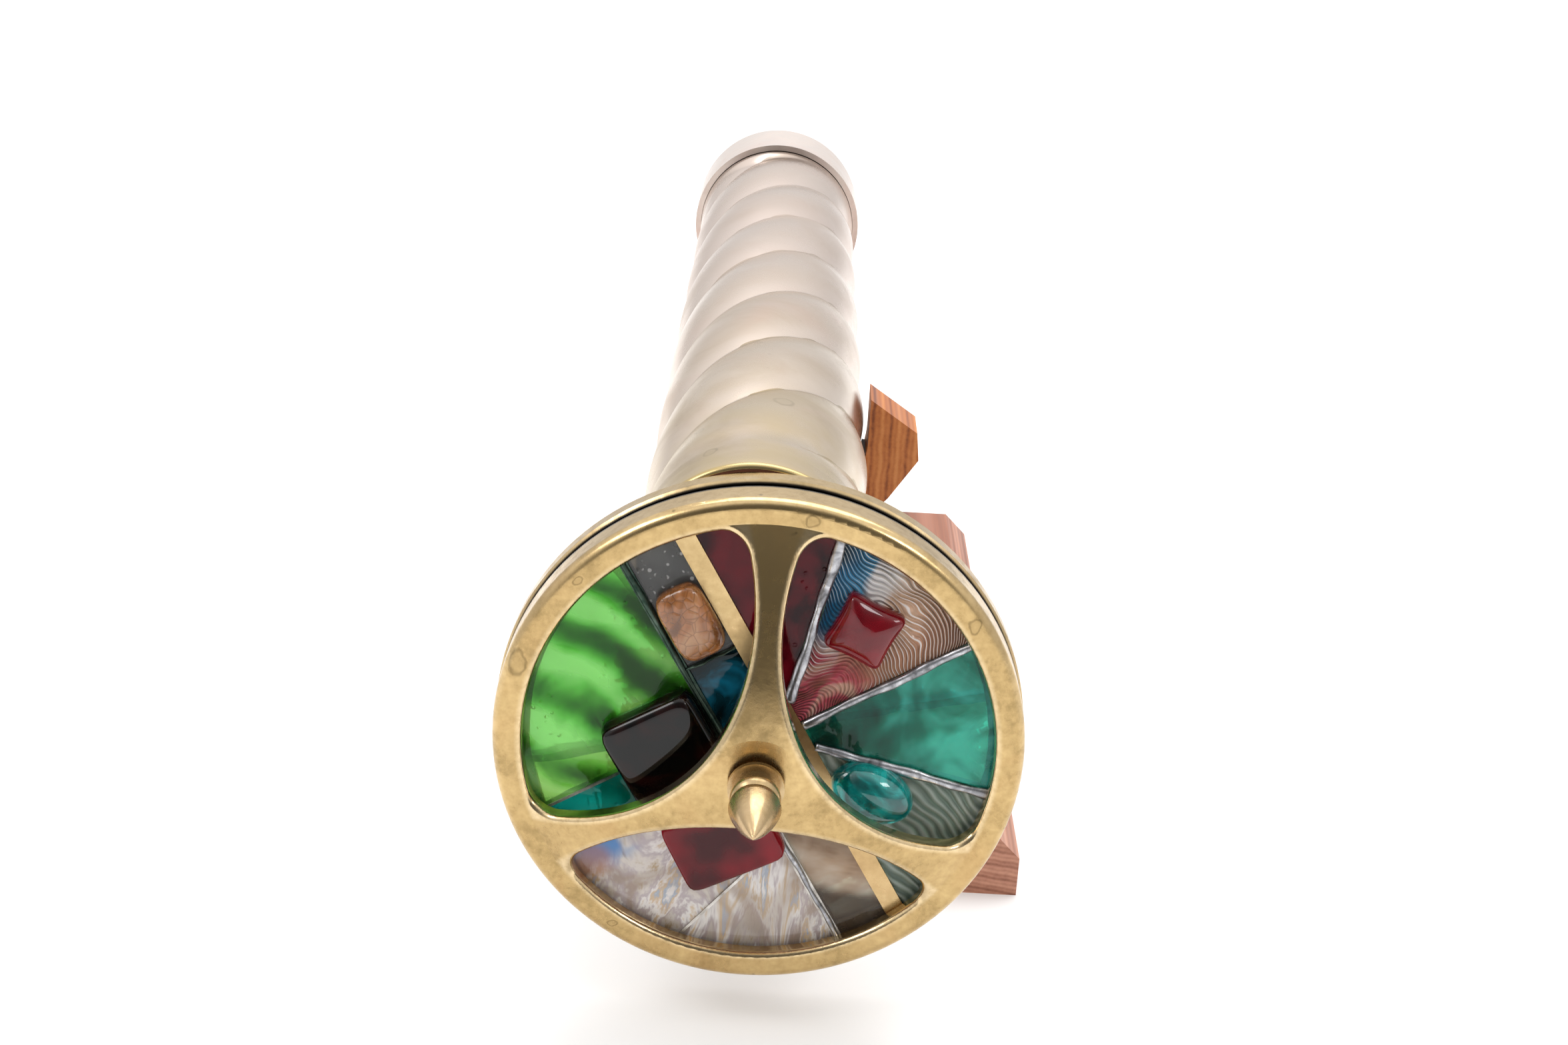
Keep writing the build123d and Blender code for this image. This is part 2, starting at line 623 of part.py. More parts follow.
# Glass jewels glued on the front of the panes: centre, size, turn, height.
SQUARE_JEWELS = {
    "jewel_red": ((18.1, 24.0), (10.5, 10.5), -25.0, 4.6, 1.2),
    "jewel_black": ((-16.6, -2.4), (19.0, 20.8), 30.0, 5.0, 2.6),
    "jewel_garnet": ((-5.6, -19.8), (20.4, 15.4), 27.0, 4.2, 2.4),
    "jewel_amber": ((-13.4, 24.0), (14.5, 9.4), -60.0, 3.6, 2.4),
}
for name, (centre, size, turn, height, corner) in SQUARE_JEWELS.items():
    with BuildPart() as jewel:
        with BuildSketch(spindle_plane(GLASS_FRONT_S - CAME_PROUD)):
            with Locations(centre):
                RectangleRounded(*size, corner, rotation=turn)
        extrude(amount=height)
        fillet(jewel.faces().sort_by(Axis.Y)[0].edges(), 0.8 * corner)
    save(jewel.part, name)

OVAL_CENTRE = (21.6, -8.6)
OVAL_HALF = (8.2, 5.5)
OVAL_TURN = -24.0
OVAL_H = 5.6
with BuildPart() as jewel_teal:
    with BuildSketch(spindle_plane(GLASS_FRONT_S - CAME_PROUD)):
        with Locations(OVAL_CENTRE):
            Ellipse(*OVAL_HALF, rotation=OVAL_TURN)
    extrude(amount=OVAL_H)
    fillet(jewel_teal.faces().sort_by(Axis.Y)[0].edges(), 0.4 * OVAL_H)
save(jewel_teal.part, "jewel_teal")

# ---- rear wheel ---------------------------------------------------------------------------------
REAR_BACK_S = REAR_FRONT_S + REAR_DEPTH
REAR_IN_R = REAR_WHEEL_R - REAR_WALL
REAR_GLASS_S = REAR_FRONT_S + (REAR_DEPTH - REAR_GLASS_T) / 2
with BuildPart() as rear_rim:
    with BuildSketch(SPINDLE_SECTION):
        with BuildLine():
            Polyline(
                (REAR_FRONT_S, REAR_IN_R - REAR_LIP),
                (REAR_FRONT_S, REAR_WHEEL_R - REAR_EDGE),
                (REAR_FRONT_S + REAR_EDGE, REAR_WHEEL_R),
                (REAR_BACK_S - REAR_EDGE, REAR_WHEEL_R),
                (REAR_BACK_S, REAR_WHEEL_R - REAR_EDGE),
                (REAR_BACK_S, REAR_IN_R - REAR_LIP),
                (REAR_BACK_S - REAR_LIP_T, REAR_IN_R - REAR_LIP),
                (REAR_BACK_S - REAR_LIP_T, REAR_IN_R),
                (REAR_FRONT_S + REAR_LIP_T, REAR_IN_R),
                (REAR_FRONT_S + REAR_LIP_T, REAR_IN_R - REAR_LIP),
                close=True,
            )
        make_face()
    revolve(axis=SPINDLE_AXIS)
save(rear_rim.part, "rear_rim")

save(
    tube(spindle_plane(REAR_BUSH_S), BUSH_R, SPINDLE_R + RUNNING_FIT, REAR_BUSH_END_S - REAR_BUSH_S),
    "rear_bush",
)

REAR_HUB_R = 7.0
REAR_STEP = 360 / REAR_PANES
REAR_TURN = 12.0


def rear_lead_strips(mode):
    """Draw the rear wheel's radial lead lines."""
    for line in range(REAR_PANES):
        angle = REAR_TURN + line * REAR_STEP
        with Locations(polar(angle, FAR / 2)):
            Rectangle(FAR, CAME_W, rotation=angle, mode=mode)


with BuildPart() as rear_leads:
    with BuildSketch(spindle_plane(REAR_GLASS_S - CAME_PROUD)):
        rear_lead_strips(Mode.ADD)
        Circle(REAR_IN_R - REAR_LIP - FIT, mode=Mode.INTERSECT)
        Circle(REAR_HUB_R)
        Circle(BUSH_R, mode=Mode.SUBTRACT)
    extrude(amount=-(REAR_GLASS_T + 2 * CAME_PROUD))
save(rear_leads.part, "rear_leads")

REAR_COLOURS = ("clear", "amber", "blue", "rose", "aqua", "green")
for index, colour in enumerate(REAR_COLOURS):
    start = REAR_TURN + index * REAR_STEP
    with BuildPart() as rear_pane:
        with BuildSketch(spindle_plane(REAR_GLASS_S)):
            with BuildLine():
                Polyline(
                    (0, 0),
                    polar(start, FAR),
                    polar(start + REAR_STEP / 2, 2 * FAR),
                    polar(start + REAR_STEP, FAR),
                    close=True,
                )
            make_face()
            Circle(REAR_IN_R - FIT, mode=Mode.INTERSECT)
            Circle(REAR_HUB_R, mode=Mode.SUBTRACT)
            rear_lead_strips(Mode.SUBTRACT)
        extrude(amount=-REAR_GLASS_T)
    save(rear_pane.part, f"rear_pane_{colour}")
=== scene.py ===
"""Looks, camera and light for the brass kaleidoscope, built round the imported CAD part."""

import json
import math

import bmesh
import bpy
from mathutils import Matrix, Vector


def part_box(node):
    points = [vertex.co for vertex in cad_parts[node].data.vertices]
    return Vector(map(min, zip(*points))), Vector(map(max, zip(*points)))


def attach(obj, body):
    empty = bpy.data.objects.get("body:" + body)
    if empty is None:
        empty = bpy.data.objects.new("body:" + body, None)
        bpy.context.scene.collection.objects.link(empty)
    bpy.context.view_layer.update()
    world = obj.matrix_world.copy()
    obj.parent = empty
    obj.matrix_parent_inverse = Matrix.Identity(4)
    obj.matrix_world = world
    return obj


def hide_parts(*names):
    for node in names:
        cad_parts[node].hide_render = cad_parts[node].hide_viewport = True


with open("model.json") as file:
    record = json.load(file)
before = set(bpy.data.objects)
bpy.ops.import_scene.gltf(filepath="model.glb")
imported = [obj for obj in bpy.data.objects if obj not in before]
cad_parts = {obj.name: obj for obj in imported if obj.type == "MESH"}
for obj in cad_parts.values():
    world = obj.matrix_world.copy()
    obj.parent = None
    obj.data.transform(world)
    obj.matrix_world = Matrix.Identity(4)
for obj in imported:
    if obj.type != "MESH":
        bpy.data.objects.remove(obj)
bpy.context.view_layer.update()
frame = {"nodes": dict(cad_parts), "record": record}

MM = 0.001

# ---- sizes shared with the CAD, in millimetres --------------------------------------------------
COVER_DEPTH = 7.4
CAME_PROUD = 0.4
WINDOW_OUT_R, WINDOW_IN_R, WINDOW_IN_CENTRE = 43.4, 44.0, 53.8
FIRST_WINDOW = 28.5  # direction of the first window, in degrees
WHEEL_R = 49.0
TUBE_FRONT, TUBE_REAR = 14.2, 303.0  # depths behind the front wheel's rim face
TWIST_START, TWIST_END = 27.2, 286.0
TWIST_LEAD = 113.0
TWIST_LOBES = 3
FIRST_VALLEY = 77.0  # direction of one valley where the twist starts, in degrees
CREST_R, VALLEY_R, BORE_R = 22.4, 20.7, 19.9
FRONT_BAND_R, REAR_BAND_R = 22.0, 22.6
BAR_TURN = 30.0  # direction across the brass bar, in degrees
BAR_OUT = 8.8  # the bar's outer edge, from the wheel's centre
SEAM_U = -5.4  # the seam on the bar's other side
GLASS_R = 44.8
FOCUS = (3.6, 1.3)  # the point that the lead lines on the right run out from

# ---- what the frame says ------------------------------------------------------------------------
cover_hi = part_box("front_cover")[1]
rear_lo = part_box("rear_rim")[0]
tube_lo, tube_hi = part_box("barrel_tube")
leads_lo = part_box("front_leads")[0]
spindle_lo, spindle_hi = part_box("spindle")
SPINDLE = Vector(((spindle_lo.x + spindle_hi.x) / 2, 0, (spindle_lo.z + spindle_hi.z) / 2))
BARREL = Vector(((tube_lo.x + tube_hi.x) / 2, 0, (tube_lo.z + tube_hi.z) / 2))
RIM_FACE = cover_hi.y - COVER_DEPTH * MM  # the front wheel's flat rim face
GLASS_FACE = leads_lo.y + CAME_PROUD * MM  # the front of the panes


# ---- material building --------------------------------------------------------------------------
class Look:
    """A material with one Principled shader, and short calls for the nodes that feed it."""

    def __init__(self, name, **constants):
        self.material = bpy.data.materials.new(name)
        self.material.use_nodes = True
        self.tree = self.material.node_tree
        self.shader = self.tree.nodes["Principled BSDF"]
        self.place = self.tree.nodes.new("ShaderNodeTexCoord").outputs["Object"]
        self.normal = None
        self.set(**constants)

    def set(self, **constants):
        names = {
            "rough": "Roughness",
            "metal": "Metallic",
            "ior": "IOR",
            "through": "Transmission Weight",
            "coat": "Coat Weight",
            "coat_rough": "Coat Roughness",
            "sheen": "Sheen Weight",
            "sheen_rough": "Sheen Roughness",
        }
        for key, value in constants.items():
            self.shader.inputs[names[key]].default_value = value
        return self

    def node(self, kind, inputs=None, **properties):
        made = self.tree.nodes.new("ShaderNode" + kind)
        for key, value in properties.items():
            setattr(made, key, value)
        for key, value in (inputs or {}).items():
            self.feed(made.inputs[key], value)
        return made

    def feed(self, socket, value):
        """Link a socket's output, or set a number or a colour."""
        if isinstance(value, bpy.types.NodeSocket):
            self.tree.links.new(value, socket)
        elif hasattr(socket.default_value, "__len__") and len(socket.default_value) == 4:
            socket.default_value = (*value, 1.0) if len(value) == 3 else value
        else:
            socket.default_value = value

    def shift(self, move=(0, 0, 0), turn=(0, 0, 0), stretch=(1, 1, 1), place=None):
        """The place counted from move, then turned by degrees and stretched."""
        centred = self.node("VectorMath", {0: place or self.place, 1: move}, operation="SUBTRACT")
        made = self.node("Mapping", {"Vector": centred.outputs[0]})
        made.inputs["Rotation"].default_value = [math.radians(a) for a in turn]
        made.inputs["Scale"].default_value = stretch
        return made.outputs[0]

    def noise(self, scale, detail=4.0, rough=0.55, warp=0.0, place=None):
        inputs = {"Vector": place or self.place, "Scale": scale, "Detail": detail}
        inputs.update({"Roughness": rough, "Distortion": warp})
        return self.node("TexNoise", inputs).outputs["Fac"]

    def wave(self, scale, warp=0.0, detail=1.0, detail_scale=1.0, kind="BANDS", way="X", place=None):
        inputs = {"Vector": place or self.place, "Scale": scale, "Distortion": warp}
        inputs.update({"Detail": detail, "Detail Scale": detail_scale})
        side = {"bands_direction": way} if kind == "BANDS" else {"rings_direction": way}
        return self.node("TexWave", inputs, wave_type=kind, **side).outputs["Fac"]

    def cells(self, scale, feature="F1"):
        inputs = {"Vector": self.place, "Scale": scale}
        return self.node("TexVoronoi", inputs, feature=feature).outputs["Distance"]

    def math(self, operation, a, b=0.0):
        return self.node("Math", {0: a, 1: b}, operation=operation).outputs[0]

    def times(self, a, b):
        return self.math("MULTIPLY", a, b)

    def plus(self, a, b):
        return self.math("ADD", a, b)

    def length(self, place):
        return self.node("VectorMath", {0: place}, operation="LENGTH").outputs["Value"]

    def span(self, value, low, high, to_low=0.0, to_high=1.0):
        """A smooth step from to_low to to_high as the value goes from low to high."""
        inputs = {"Value": value, "From Min": low, "From Max": high}
        inputs.update({"To Min": to_low, "To Max": to_high})
        return self.node("MapRange", inputs, interpolation_type="SMOOTHSTEP").outputs[0]

    def axis(self, index, place=None):
        return self.node("SeparateXYZ", {0: place or self.place}).outputs[index]

    def ramp(self, value, stops, smooth=False):
        made = self.node("ValToRGB", {"Fac": value})
        ramp = made.color_ramp
        ramp.interpolation = "EASE" if smooth else "LINEAR"
        while len(ramp.elements) < len(stops):
            ramp.elements.new(0.5)
        for element, (position, colour) in zip(ramp.elements, stops):
            element.position = position
            element.color = (*colour, 1.0)
        return made.outputs["Color"]

    def mix(self, amount, a, b):
        made = self.node("Mix", data_type="RGBA")
        self.feed(made.inputs["Factor"], amount)
        self.feed(made.inputs[6], a)
        self.feed(made.inputs[7], b)
        return made.outputs[2]

    def near(self, spot, reach, soft=0.35, stretch=(1, 1, 1), turn=(0, 0, 0)):
        """1 within reach of a spot, fading to 0."""
        there = self.shift(move=spot, turn=turn, stretch=stretch)
        return self.span(self.length(there), reach * (1 - soft), reach, 1.0, 0.0)

    def base(self):
        """The colour that has been built so far."""
        return self.shader.inputs["Base Color"].links[0].from_socket

    def colour(self, value):
        self.feed(self.shader.inputs["Base Color"], value)
        return self

    def roughness(self, value):
        self.feed(self.shader.inputs["Roughness"], value)
        return self

    def bump(self, height, depth_mm, strength=1.0):
        inputs = {"Height": height, "Distance": depth_mm * MM, "Strength": strength}
        if self.normal is not None:
            inputs["Normal"] = self.normal
        self.normal = self.node("Bump", inputs).outputs["Normal"]
        self.feed(self.shader.inputs["Normal"], self.normal)
        return self


def brass(
    name, pale, mid, dark, spots=1.0, rough=(0.2, 0.42), marks=(), grain=None, edge=None, relief=1.0
):
    """Aged brass: cloudy tarnish, small dark pits, faint stains, fine scratches, painted highlights on
    edges.
    """
    look = Look(name, metal=1.0)
    cloud = look.noise(95 if relief > 0.5 else 42, 5, 0.6, 0.6)
    fine = look.noise(620, 4, 0.65)
    fine_share = 0.4 * relief
    blend = look.plus(look.times(cloud, 1 - fine_share), look.times(fine, fine_share))
    tone = look.ramp(blend, [(0.30, dark), (0.48, mid), (0.68, pale)])
    pink = look.span(look.noise(38, 3, 0.5, 1.2, look.shift((0.31, 0.2, 0.11))), 0.5, 0.75)
    warm = tuple(min(1.0, c * k) for c, k in zip(mid, (1.05, 0.90, 0.88)))
    tone = look.mix(look.times(pink, 0.4), tone, warm)
    pits = look.span(look.cells(230), 0.04, 0.12, 1.0, 0.0)
    where = look.span(look.noise(60, 2, 0.5, 0.0, look.shift((0.7, 0.1, 0.4))), 0.5, 0.62)
    pits = look.times(look.times(pits, where), 0.7 * spots)
    tone = look.mix(pits, tone, tuple(c * 0.4 for c in dark))
    if marks:
        tone = stained(look, tone, marks, mid, dark)
    gloss = look.span(blend, 0.3, 0.66, rough[1], rough[0])
    if edge:
        # painted highlight along the edges, with the roughness a little lower there
        edge_glint = look.times(edge(look), look.span(fine, 0.3, 0.6, 0.55, 1.0))
        tone = look.mix(look.times(edge_glint, 0.6), tone, (0.82, 0.66, 0.42))
        gloss = look.times(gloss, look.math("SUBTRACT", 1.0, look.times(edge_glint, 0.35)))
    look.colour(tone)
    look.roughness(gloss)
    look.bump(fine, 0.016 * relief)
    look.bump(cloud, 0.07 * relief, 0.6)
    if grain:
        look.bump(look.noise(900, 2, 0.5, 0.0, look.shift(stretch=grain)), 0.02, 0.7)
    return look


def stained(look, tone, marks, mid, dark):
    """Faint uneven rings, each a spot, its reach, and how it is stretched and turned."""
    smear = look.node("TexNoise", {"Vector": look.place, "Scale": 300.0, "Detail": 2.0}).outputs["Color"]
    smear = look.node("VectorMath", {0: smear, 1: (0.5, 0.5, 0.5)}, operation="SUBTRACT").outputs[0]
    smear = look.node("VectorMath", {0: smear, 3: 2.2 * MM}, operation="SCALE").outputs[0]
    smeared = look.node("VectorMath", {0: look.place, 1: smear}, operation="ADD").outputs[0]
    for spot, reach, stretch, turn in marks:
        away = look.length(look.shift(spot, turn, stretch, smeared))
        inner = look.span(away, reach * 0.62, reach * 0.86)
        outer = look.span(away, reach * 0.9, reach * 1.15, 1.0, 0.0)
        tone = look.mix(look.times(look.times(inner, outer), 0.5), tone, tuple(c * 0.4 for c in dark))
        inside = look.span(away, reach * 0.4, reach * 1.1, 0.3, 0.0)
        tone = look.mix(inside, tone, tuple(c * 0.7 for c in mid))
    return tone


def edge_highlights(look):
    """Where the front cover gets a painted highlight: round its windows and along its outer rim, where its
    rounded edges would catch the light.
    """
    here = look.shift(SPINDLE, stretch=(1, 0, 1))
    radius = look.length(here)
    past_circle = look.math("SUBTRACT", radius, WINDOW_OUT_R * MM)
    nearest = 1.0
    for window in range(3):
        angle = math.radians(FIRST_WINDOW + 120 * window)
        reach = WINDOW_IN_CENTRE * MM
        centre = (reach * math.cos(angle), 0.0, reach * math.sin(angle))
        away = look.node("VectorMath", {0: here, 1: centre}, operation="DISTANCE").outputs["Value"]
        outside = look.math("MAXIMUM", past_circle, look.math("SUBTRACT", away, WINDOW_IN_R * MM))
        nearest = look.math("MINIMUM", nearest, outside)
    # painted highlight close round the windows, and a fainter one at the outer rim
    window_edge_highlight = look.span(nearest, 0.4 * MM, 1.6 * MM, 1.0, 0.0)
    rim_edge_highlight = look.times(look.span(radius, (WHEEL_R - 1.6) * MM, (WHEEL_R - 0.4) * MM), 0.3)
    return look.math("MAXIMUM", window_edge_highlight, rim_edge_highlight)


def glass(
    name, stops, scale=60, warp=1.0, through=0.9, rough=0.04, ripple=None, seeds=0.0, streak=0.0, painted_light_fall=None
):
    """Hand-made coloured glass: wandering tone, ripples and small seeds as bump.

    streak is how far the tone follows the ripples. The light fall paints light and shade across the pane,
    adding to the tone from left to right: it has two places in wheel millimetres and the two amounts there.
    """
    look = Look(name, through=through, rough=rough, ior=1.32)
    tone = look.noise(scale, 3, 0.55, warp)
    if ripple:
        height, depth = ripple(look)
        look.bump(height, depth)
        if streak:
            tone = look.plus(look.times(tone, 1 - streak), look.times(height, streak))
    # painted light and shade: the pane is made brighter on one side than the other
    if painted_light_fall:
        left, right, at_left, at_right = painted_light_fall
        across = look.axis(0, look.shift(SPINDLE))
        tone = look.plus(tone, look.span(across, left * MM, right * MM, at_left, at_right))
    look.colour(look.ramp(tone, stops))
    look.bump(look.noise(180, 2, 0.5, 0.5), 0.04)
    if seeds:
        bubble = look.span(look.cells(420), 0.08, 0.2, 1.0, 0.0)
        keep = look.span(look.noise(130, 1), 0.56, 0.6)
        look.bump(look.times(bubble, keep), seeds)
    return look


def fans(look):
    """Fine curved ridges, as in fan-rolled glass."""
    place = look.shift(SPINDLE, stretch=(1, 0, 1))
    return look.wave(260, 12.0, 1.5, 0.3, way="DIAGONAL", place=place), 0.3


def waves(look):
    """Long soft waves that run up to the right."""
    place = look.shift(SPINDLE, turn=(0, 62, 0), stretch=(1, 0, 1))
    return look.wave(27, 3.6, 2.0, 1.6, way="X", place=place), 0.75


def swirls(look):
    """Slow curls, as in poured glass."""
    place = look.shift(SPINDLE, stretch=(1, 0, 1))
    return look.noise(70, 1.5, 0.4, 2.6, place), 0.7


def hammered(look):
    """Small shallow dimples."""
    return look.cells(300, "SMOOTH_F1"), 0.3


# ---- brass --------------------------------------------------------------------------------------
def on_rim(angle, radius):
    """A point of the front wheel's face, by its angle and its radius in millimetres."""
    return (
        SPINDLE.x + radius * MM * math.cos(math.radians(angle)),
        RIM_FACE,
        SPINDLE.z + radius * MM * math.sin(math.radians(angle)),
    )


COVER_MARKS = (
    (on_rim(36, 46.4), 1.5 * MM, (1.25, 1, 0.85), (0, 0, 0)),
    (on_rim(81, 46.0), 1.3 * MM, (1, 1, 1), (0, 0, 0)),
    (on_rim(137, 46.2), 0.9 * MM, (1, 1, 1), (0, 0, 0)),
    (on_rim(84, 43.5), 0.6 * MM, (1, 1, 1), (0, 0, 0)),
    (on_rim(-20, 42.5), 0.7 * MM, (1, 1, 1), (0, 0, 0)),
    (on_rim(161, 46.8), 1.6 * MM, (1, 1, 0.6), (0, 30, 0)),
    (on_rim(-124, 45.8), 0.8 * MM, (0.7, 1, 1), (0, 0, 0)),
)
cover_brass = brass(
    "brass_cover", (0.61, 0.435, 0.205), (0.47, 0.325, 0.145), (0.29, 0.20, 0.085),
    rough=(0.18, 0.34), marks=COVER_MARKS, edge=edge_highlights,
)
rim_brass = brass("brass_rear", (0.62, 0.48, 0.29), (0.50, 0.37, 0.20), (0.33, 0.24, 0.12), 0.6)


def gap_shade(look, shade_from, shade_to):
    """Painted shade where the wheels' faces meet, darkening the colour from an unshaded depth to a black
    one.
    """
    look.colour(look.mix(look.span(look.axis(1), shade_from, shade_to), look.base(), (0.012, 0.010, 0.008)))


# painted shade on the front cover's back face and the rear rim's front face, where the gap between the
# wheels lies in shadow
gap_shade(cover_brass, RIM_FACE + (COVER_DEPTH - 0.8) * MM, RIM_FACE + (COVER_DEPTH - 0.1) * MM)
gap_shade(rim_brass, rear_lo.y + 0.5 * MM, rear_lo.y + 0.1 * MM)
# painted light: the cap's brass is made pale and pinkish for the bright light and haze on it
cap_brass = brass(
    "brass_cap", (0.86, 0.77, 0.71), (0.83, 0.73, 0.67), (0.77, 0.66, 0.59), 0.3, (0.3, 0.42)
)
bar_brass = brass(
    "brass_bar_stock", (0.62, 0.46, 0.24), (0.52, 0.37, 0.18), (0.40, 0.28, 0.13), 0.5, (0.25, 0.4)
)
turned_brass = brass(
    "brass_turned", (0.58, 0.43, 0.25), (0.47, 0.34, 0.18), (0.30, 0.21, 0.10), 0.3, (0.22, 0.34),
    grain=(0.05, 1, 0.05),
)

BARREL_MARKS = (
    ((BARREL.x + 4.4 * MM, tube_lo.y + 38 * MM, BARREL.z + 22 * MM), 2.2 * MM, (1, 0.75, 1), (0, 0, 0)),
    ((BARREL.x - 12 * MM, tube_lo.y + 26 * MM, BARREL.z + 19 * MM), 1.4 * MM, (1, 1, 1), (0, 0, 0)),
    ((BARREL.x - 2 * MM, tube_lo.y + 80 * MM, BARREL.z + 22 * MM), 1.5 * MM, (1, 0.7, 1), (0, 0, 0)),
    ((BARREL.x - 9 * MM, tube_lo.y + 11 * MM, BARREL.z + 20 * MM), 1.5 * MM, (1, 1, 1), (0, 0, 0)),
)


def barrel_look():
    """Brass painted pale for the bright light on it, olive near the wheels, with a pinkish painted haze of
    light further off, and painted shade and highlight on the slopes and valleys of the twist.
    """
    look = brass(
        "brass_barrel", (0.67, 0.555, 0.44), (0.58, 0.47, 0.36), (0.46, 0.36, 0.25), 0.35,
        (0.24, 0.34), BARREL_MARKS, relief=0.15,
    )
    centred = look.shift(BARREL)
    turned = look.math("ARCTAN2", look.axis(2, centred), look.axis(0, centred))
    along = look.math("SUBTRACT", look.axis(1), RIM_FACE + TWIST_START * MM)
    # whole numbers of lobe_count are the valleys, and lobe goes from 0 to 1 between two of them
    turned = look.math("SUBTRACT", turned, math.radians(FIRST_VALLEY))
    lobe_count = look.times(turned, TWIST_LOBES / (2 * math.pi))
    lobe_count = look.plus(lobe_count, look.times(along, TWIST_LOBES / (TWIST_LEAD * MM)))
    lobe_count = look.plus(lobe_count, look.span(look.noise(70, 2), 0.3, 0.7, -0.03, 0.03))
    lobe = look.math("FRACT", look.plus(lobe_count, 30.0))
    twisted = look.span(along, 0.0, 8 * MM)
    # painted shade on the slope before each valley, a painted highlight on the slope after it, and a dark
    # painted shade line in the valley
    before = look.times(look.span(lobe, 0.55, 0.98), twisted)
    lit_slope = look.times(look.span(lobe, 0.03, 0.30, 1.0, 0.0), twisted)
    valley_shade = look.times(look.span(lobe, 0.955, 0.985), twisted)
    tone = look.mix(look.times(before, 0.62), look.base(), (0.44, 0.34, 0.20))
    tone = look.mix(look.times(lit_slope, 0.5), tone, (0.77, 0.67, 0.60))
    tone = look.mix(look.times(valley_shade, 0.55), tone, (0.26, 0.19, 0.10))
    near_wheels = look.span(along, -10 * MM, 60 * MM, 0.75, 0.0)
    olive = look.times(near_wheels, look.span(look.noise(48, 3), 0.32, 0.6))
    tone = look.mix(olive, tone, (0.56, 0.44, 0.25))
    # painted haze of bright light: paler and pinkish further from the wheels
    far_haze = look.span(along, 10 * MM, 190 * MM)
    tone = look.mix(look.times(far_haze, 0.6), tone, (0.66, 0.55, 0.505))
    lip = look.span(along, -12.4 * MM, -11.4 * MM, 1.0, 0.0)
    look.colour(look.mix(lip, tone, (0.50, 0.38, 0.18)))
    return look


barrel_brass = barrel_look()
inside_dark = Look("tube_inside", metal=0.6, rough=0.5)
inside_dark.colour(
    inside_dark.ramp(inside_dark.noise(90, 3), [(0.3, (0.05, 0.02, 0.012)), (0.7, (0.14, 0.05, 0.03))])
)
inside_dark.bump(inside_dark.noise(500, 3), 0.02)


# ---- wood, felt, lead, mirror -------------------------------------------------------------------
def wood(name, stops, turn, axis, rings):
    """Straight-grained wood: growth rings round a far axis along Y, fine streaks, slow drift."""
    look = Look(name, rough=0.45, coat=0.06, coat_rough=0.3)
    place = look.shift(axis, turn, (1, 0.06, 1))
    ring = look.wave(rings, 2.2, 2.0, 0.5, "RINGS", "Y", place)
    fine_ring = look.wave(rings * 3.1, 3.0, 2.0, 0.8, "RINGS", "Y", place)
    streak = look.noise(800, 5, 0.65, 0.0, look.shift(axis, turn, (1, 0.02, 1)))
    drift = look.noise(30, 3, 0.5, 0.0, look.shift(axis, turn, (1, 0.15, 1)))
    parts = ((ring, 0.18), (fine_ring, 0.14), (streak, 0.34), (drift, 0.34))
    band = 0.0
    for part, weight in parts:
        band = look.plus(look.times(part, weight), band)
    look.colour(look.ramp(band, stops))
    look.roughness(look.span(streak, 0.3, 0.7, 0.38, 0.58))
    look.bump(streak, 0.05)
    look.bump(band, 0.06, 0.5)
    return look


wood_base = wood(
    "wood_base",
    [
        (0.30, (0.23, 0.078, 0.040)), (0.44, (0.38, 0.15, 0.088)),
        (0.56, (0.48, 0.21, 0.13)), (0.70, (0.58, 0.28, 0.18)),
    ],
    turn=(0, 0, 0),
    axis=(0.02, 0, -0.16),
    rings=95.0,
)
wood_cradle = wood(
    "wood_cradle",
    [
        (0.30, (0.20, 0.050, 0.012)), (0.43, (0.40, 0.118, 0.028)),
        (0.55, (0.50, 0.165, 0.042)), (0.70, (0.60, 0.23, 0.068)),
    ],
    turn=(90, 7, 0),
    axis=(0.12, 0.02, 0.0),
    rings=80.0,
)
felt = Look("felt", rough=0.95, sheen=0.6, sheen_rough=0.5)
felt.colour(felt.ramp(felt.noise(1500, 3), [(0.3, (0.02, 0.018, 0.016)), (0.7, (0.07, 0.06, 0.055))]))
felt.bump(felt.noise(2400, 2), 0.12)

lead = Look("lead", metal=1.0)
tin = lead.noise(300, 4, 0.6, 0.8)
lead.colour(
    lead.ramp(tin, [(0.3, (0.10, 0.10, 0.105)), (0.5, (0.33, 0.33, 0.35)), (0.72, (0.62, 0.62, 0.64))])
)
lead.roughness(lead.span(tin, 0.3, 0.7, 0.5, 0.25))
lead.bump(lead.noise(420, 3, 0.6), 0.12)
FOIL = [(0.3, (0.01, 0.03, 0.02)), (0.8, (0.10, 0.14, 0.11))]
dark_foil = Look("dark_foil", metal=0.8, rough=0.4)
dark_foil.colour(dark_foil.ramp(dark_foil.noise(500, 3), FOIL))
dark_foil.bump(dark_foil.noise(600, 3), 0.06)

mirror = Look("mirror", metal=1.0, rough=0.02)
mirror.colour(mirror.ramp(mirror.noise(40, 2), [(0.3, (0.86, 0.87, 0.88)), (0.7, (0.92, 0.93, 0.93))]))
black_ring = Look("black_ring", rough=0.55)
black_ring.colour(
    black_ring.ramp(black_ring.noise(300, 3), [(0.3, (0.012, 0.012, 0.012)), (0.7, (0.03, 0.03, 0.03))])
)
black_ring.bump(black_ring.noise(900, 2), 0.02)
clear = glass("clear_glass", [(0.3, (0.93, 0.96, 0.95)), (0.7, (0.98, 0.99, 0.99))], through=1.0)
steel = Look("steel", metal=1.0, rough=0.3)
steel.colour(steel.ramp(steel.noise(200, 3), [(0.3, (0.42, 0.42, 0.44)), (0.7, (0.62, 0.62, 0.63))]))
steel.bump(steel.noise(900, 2), 0.02)

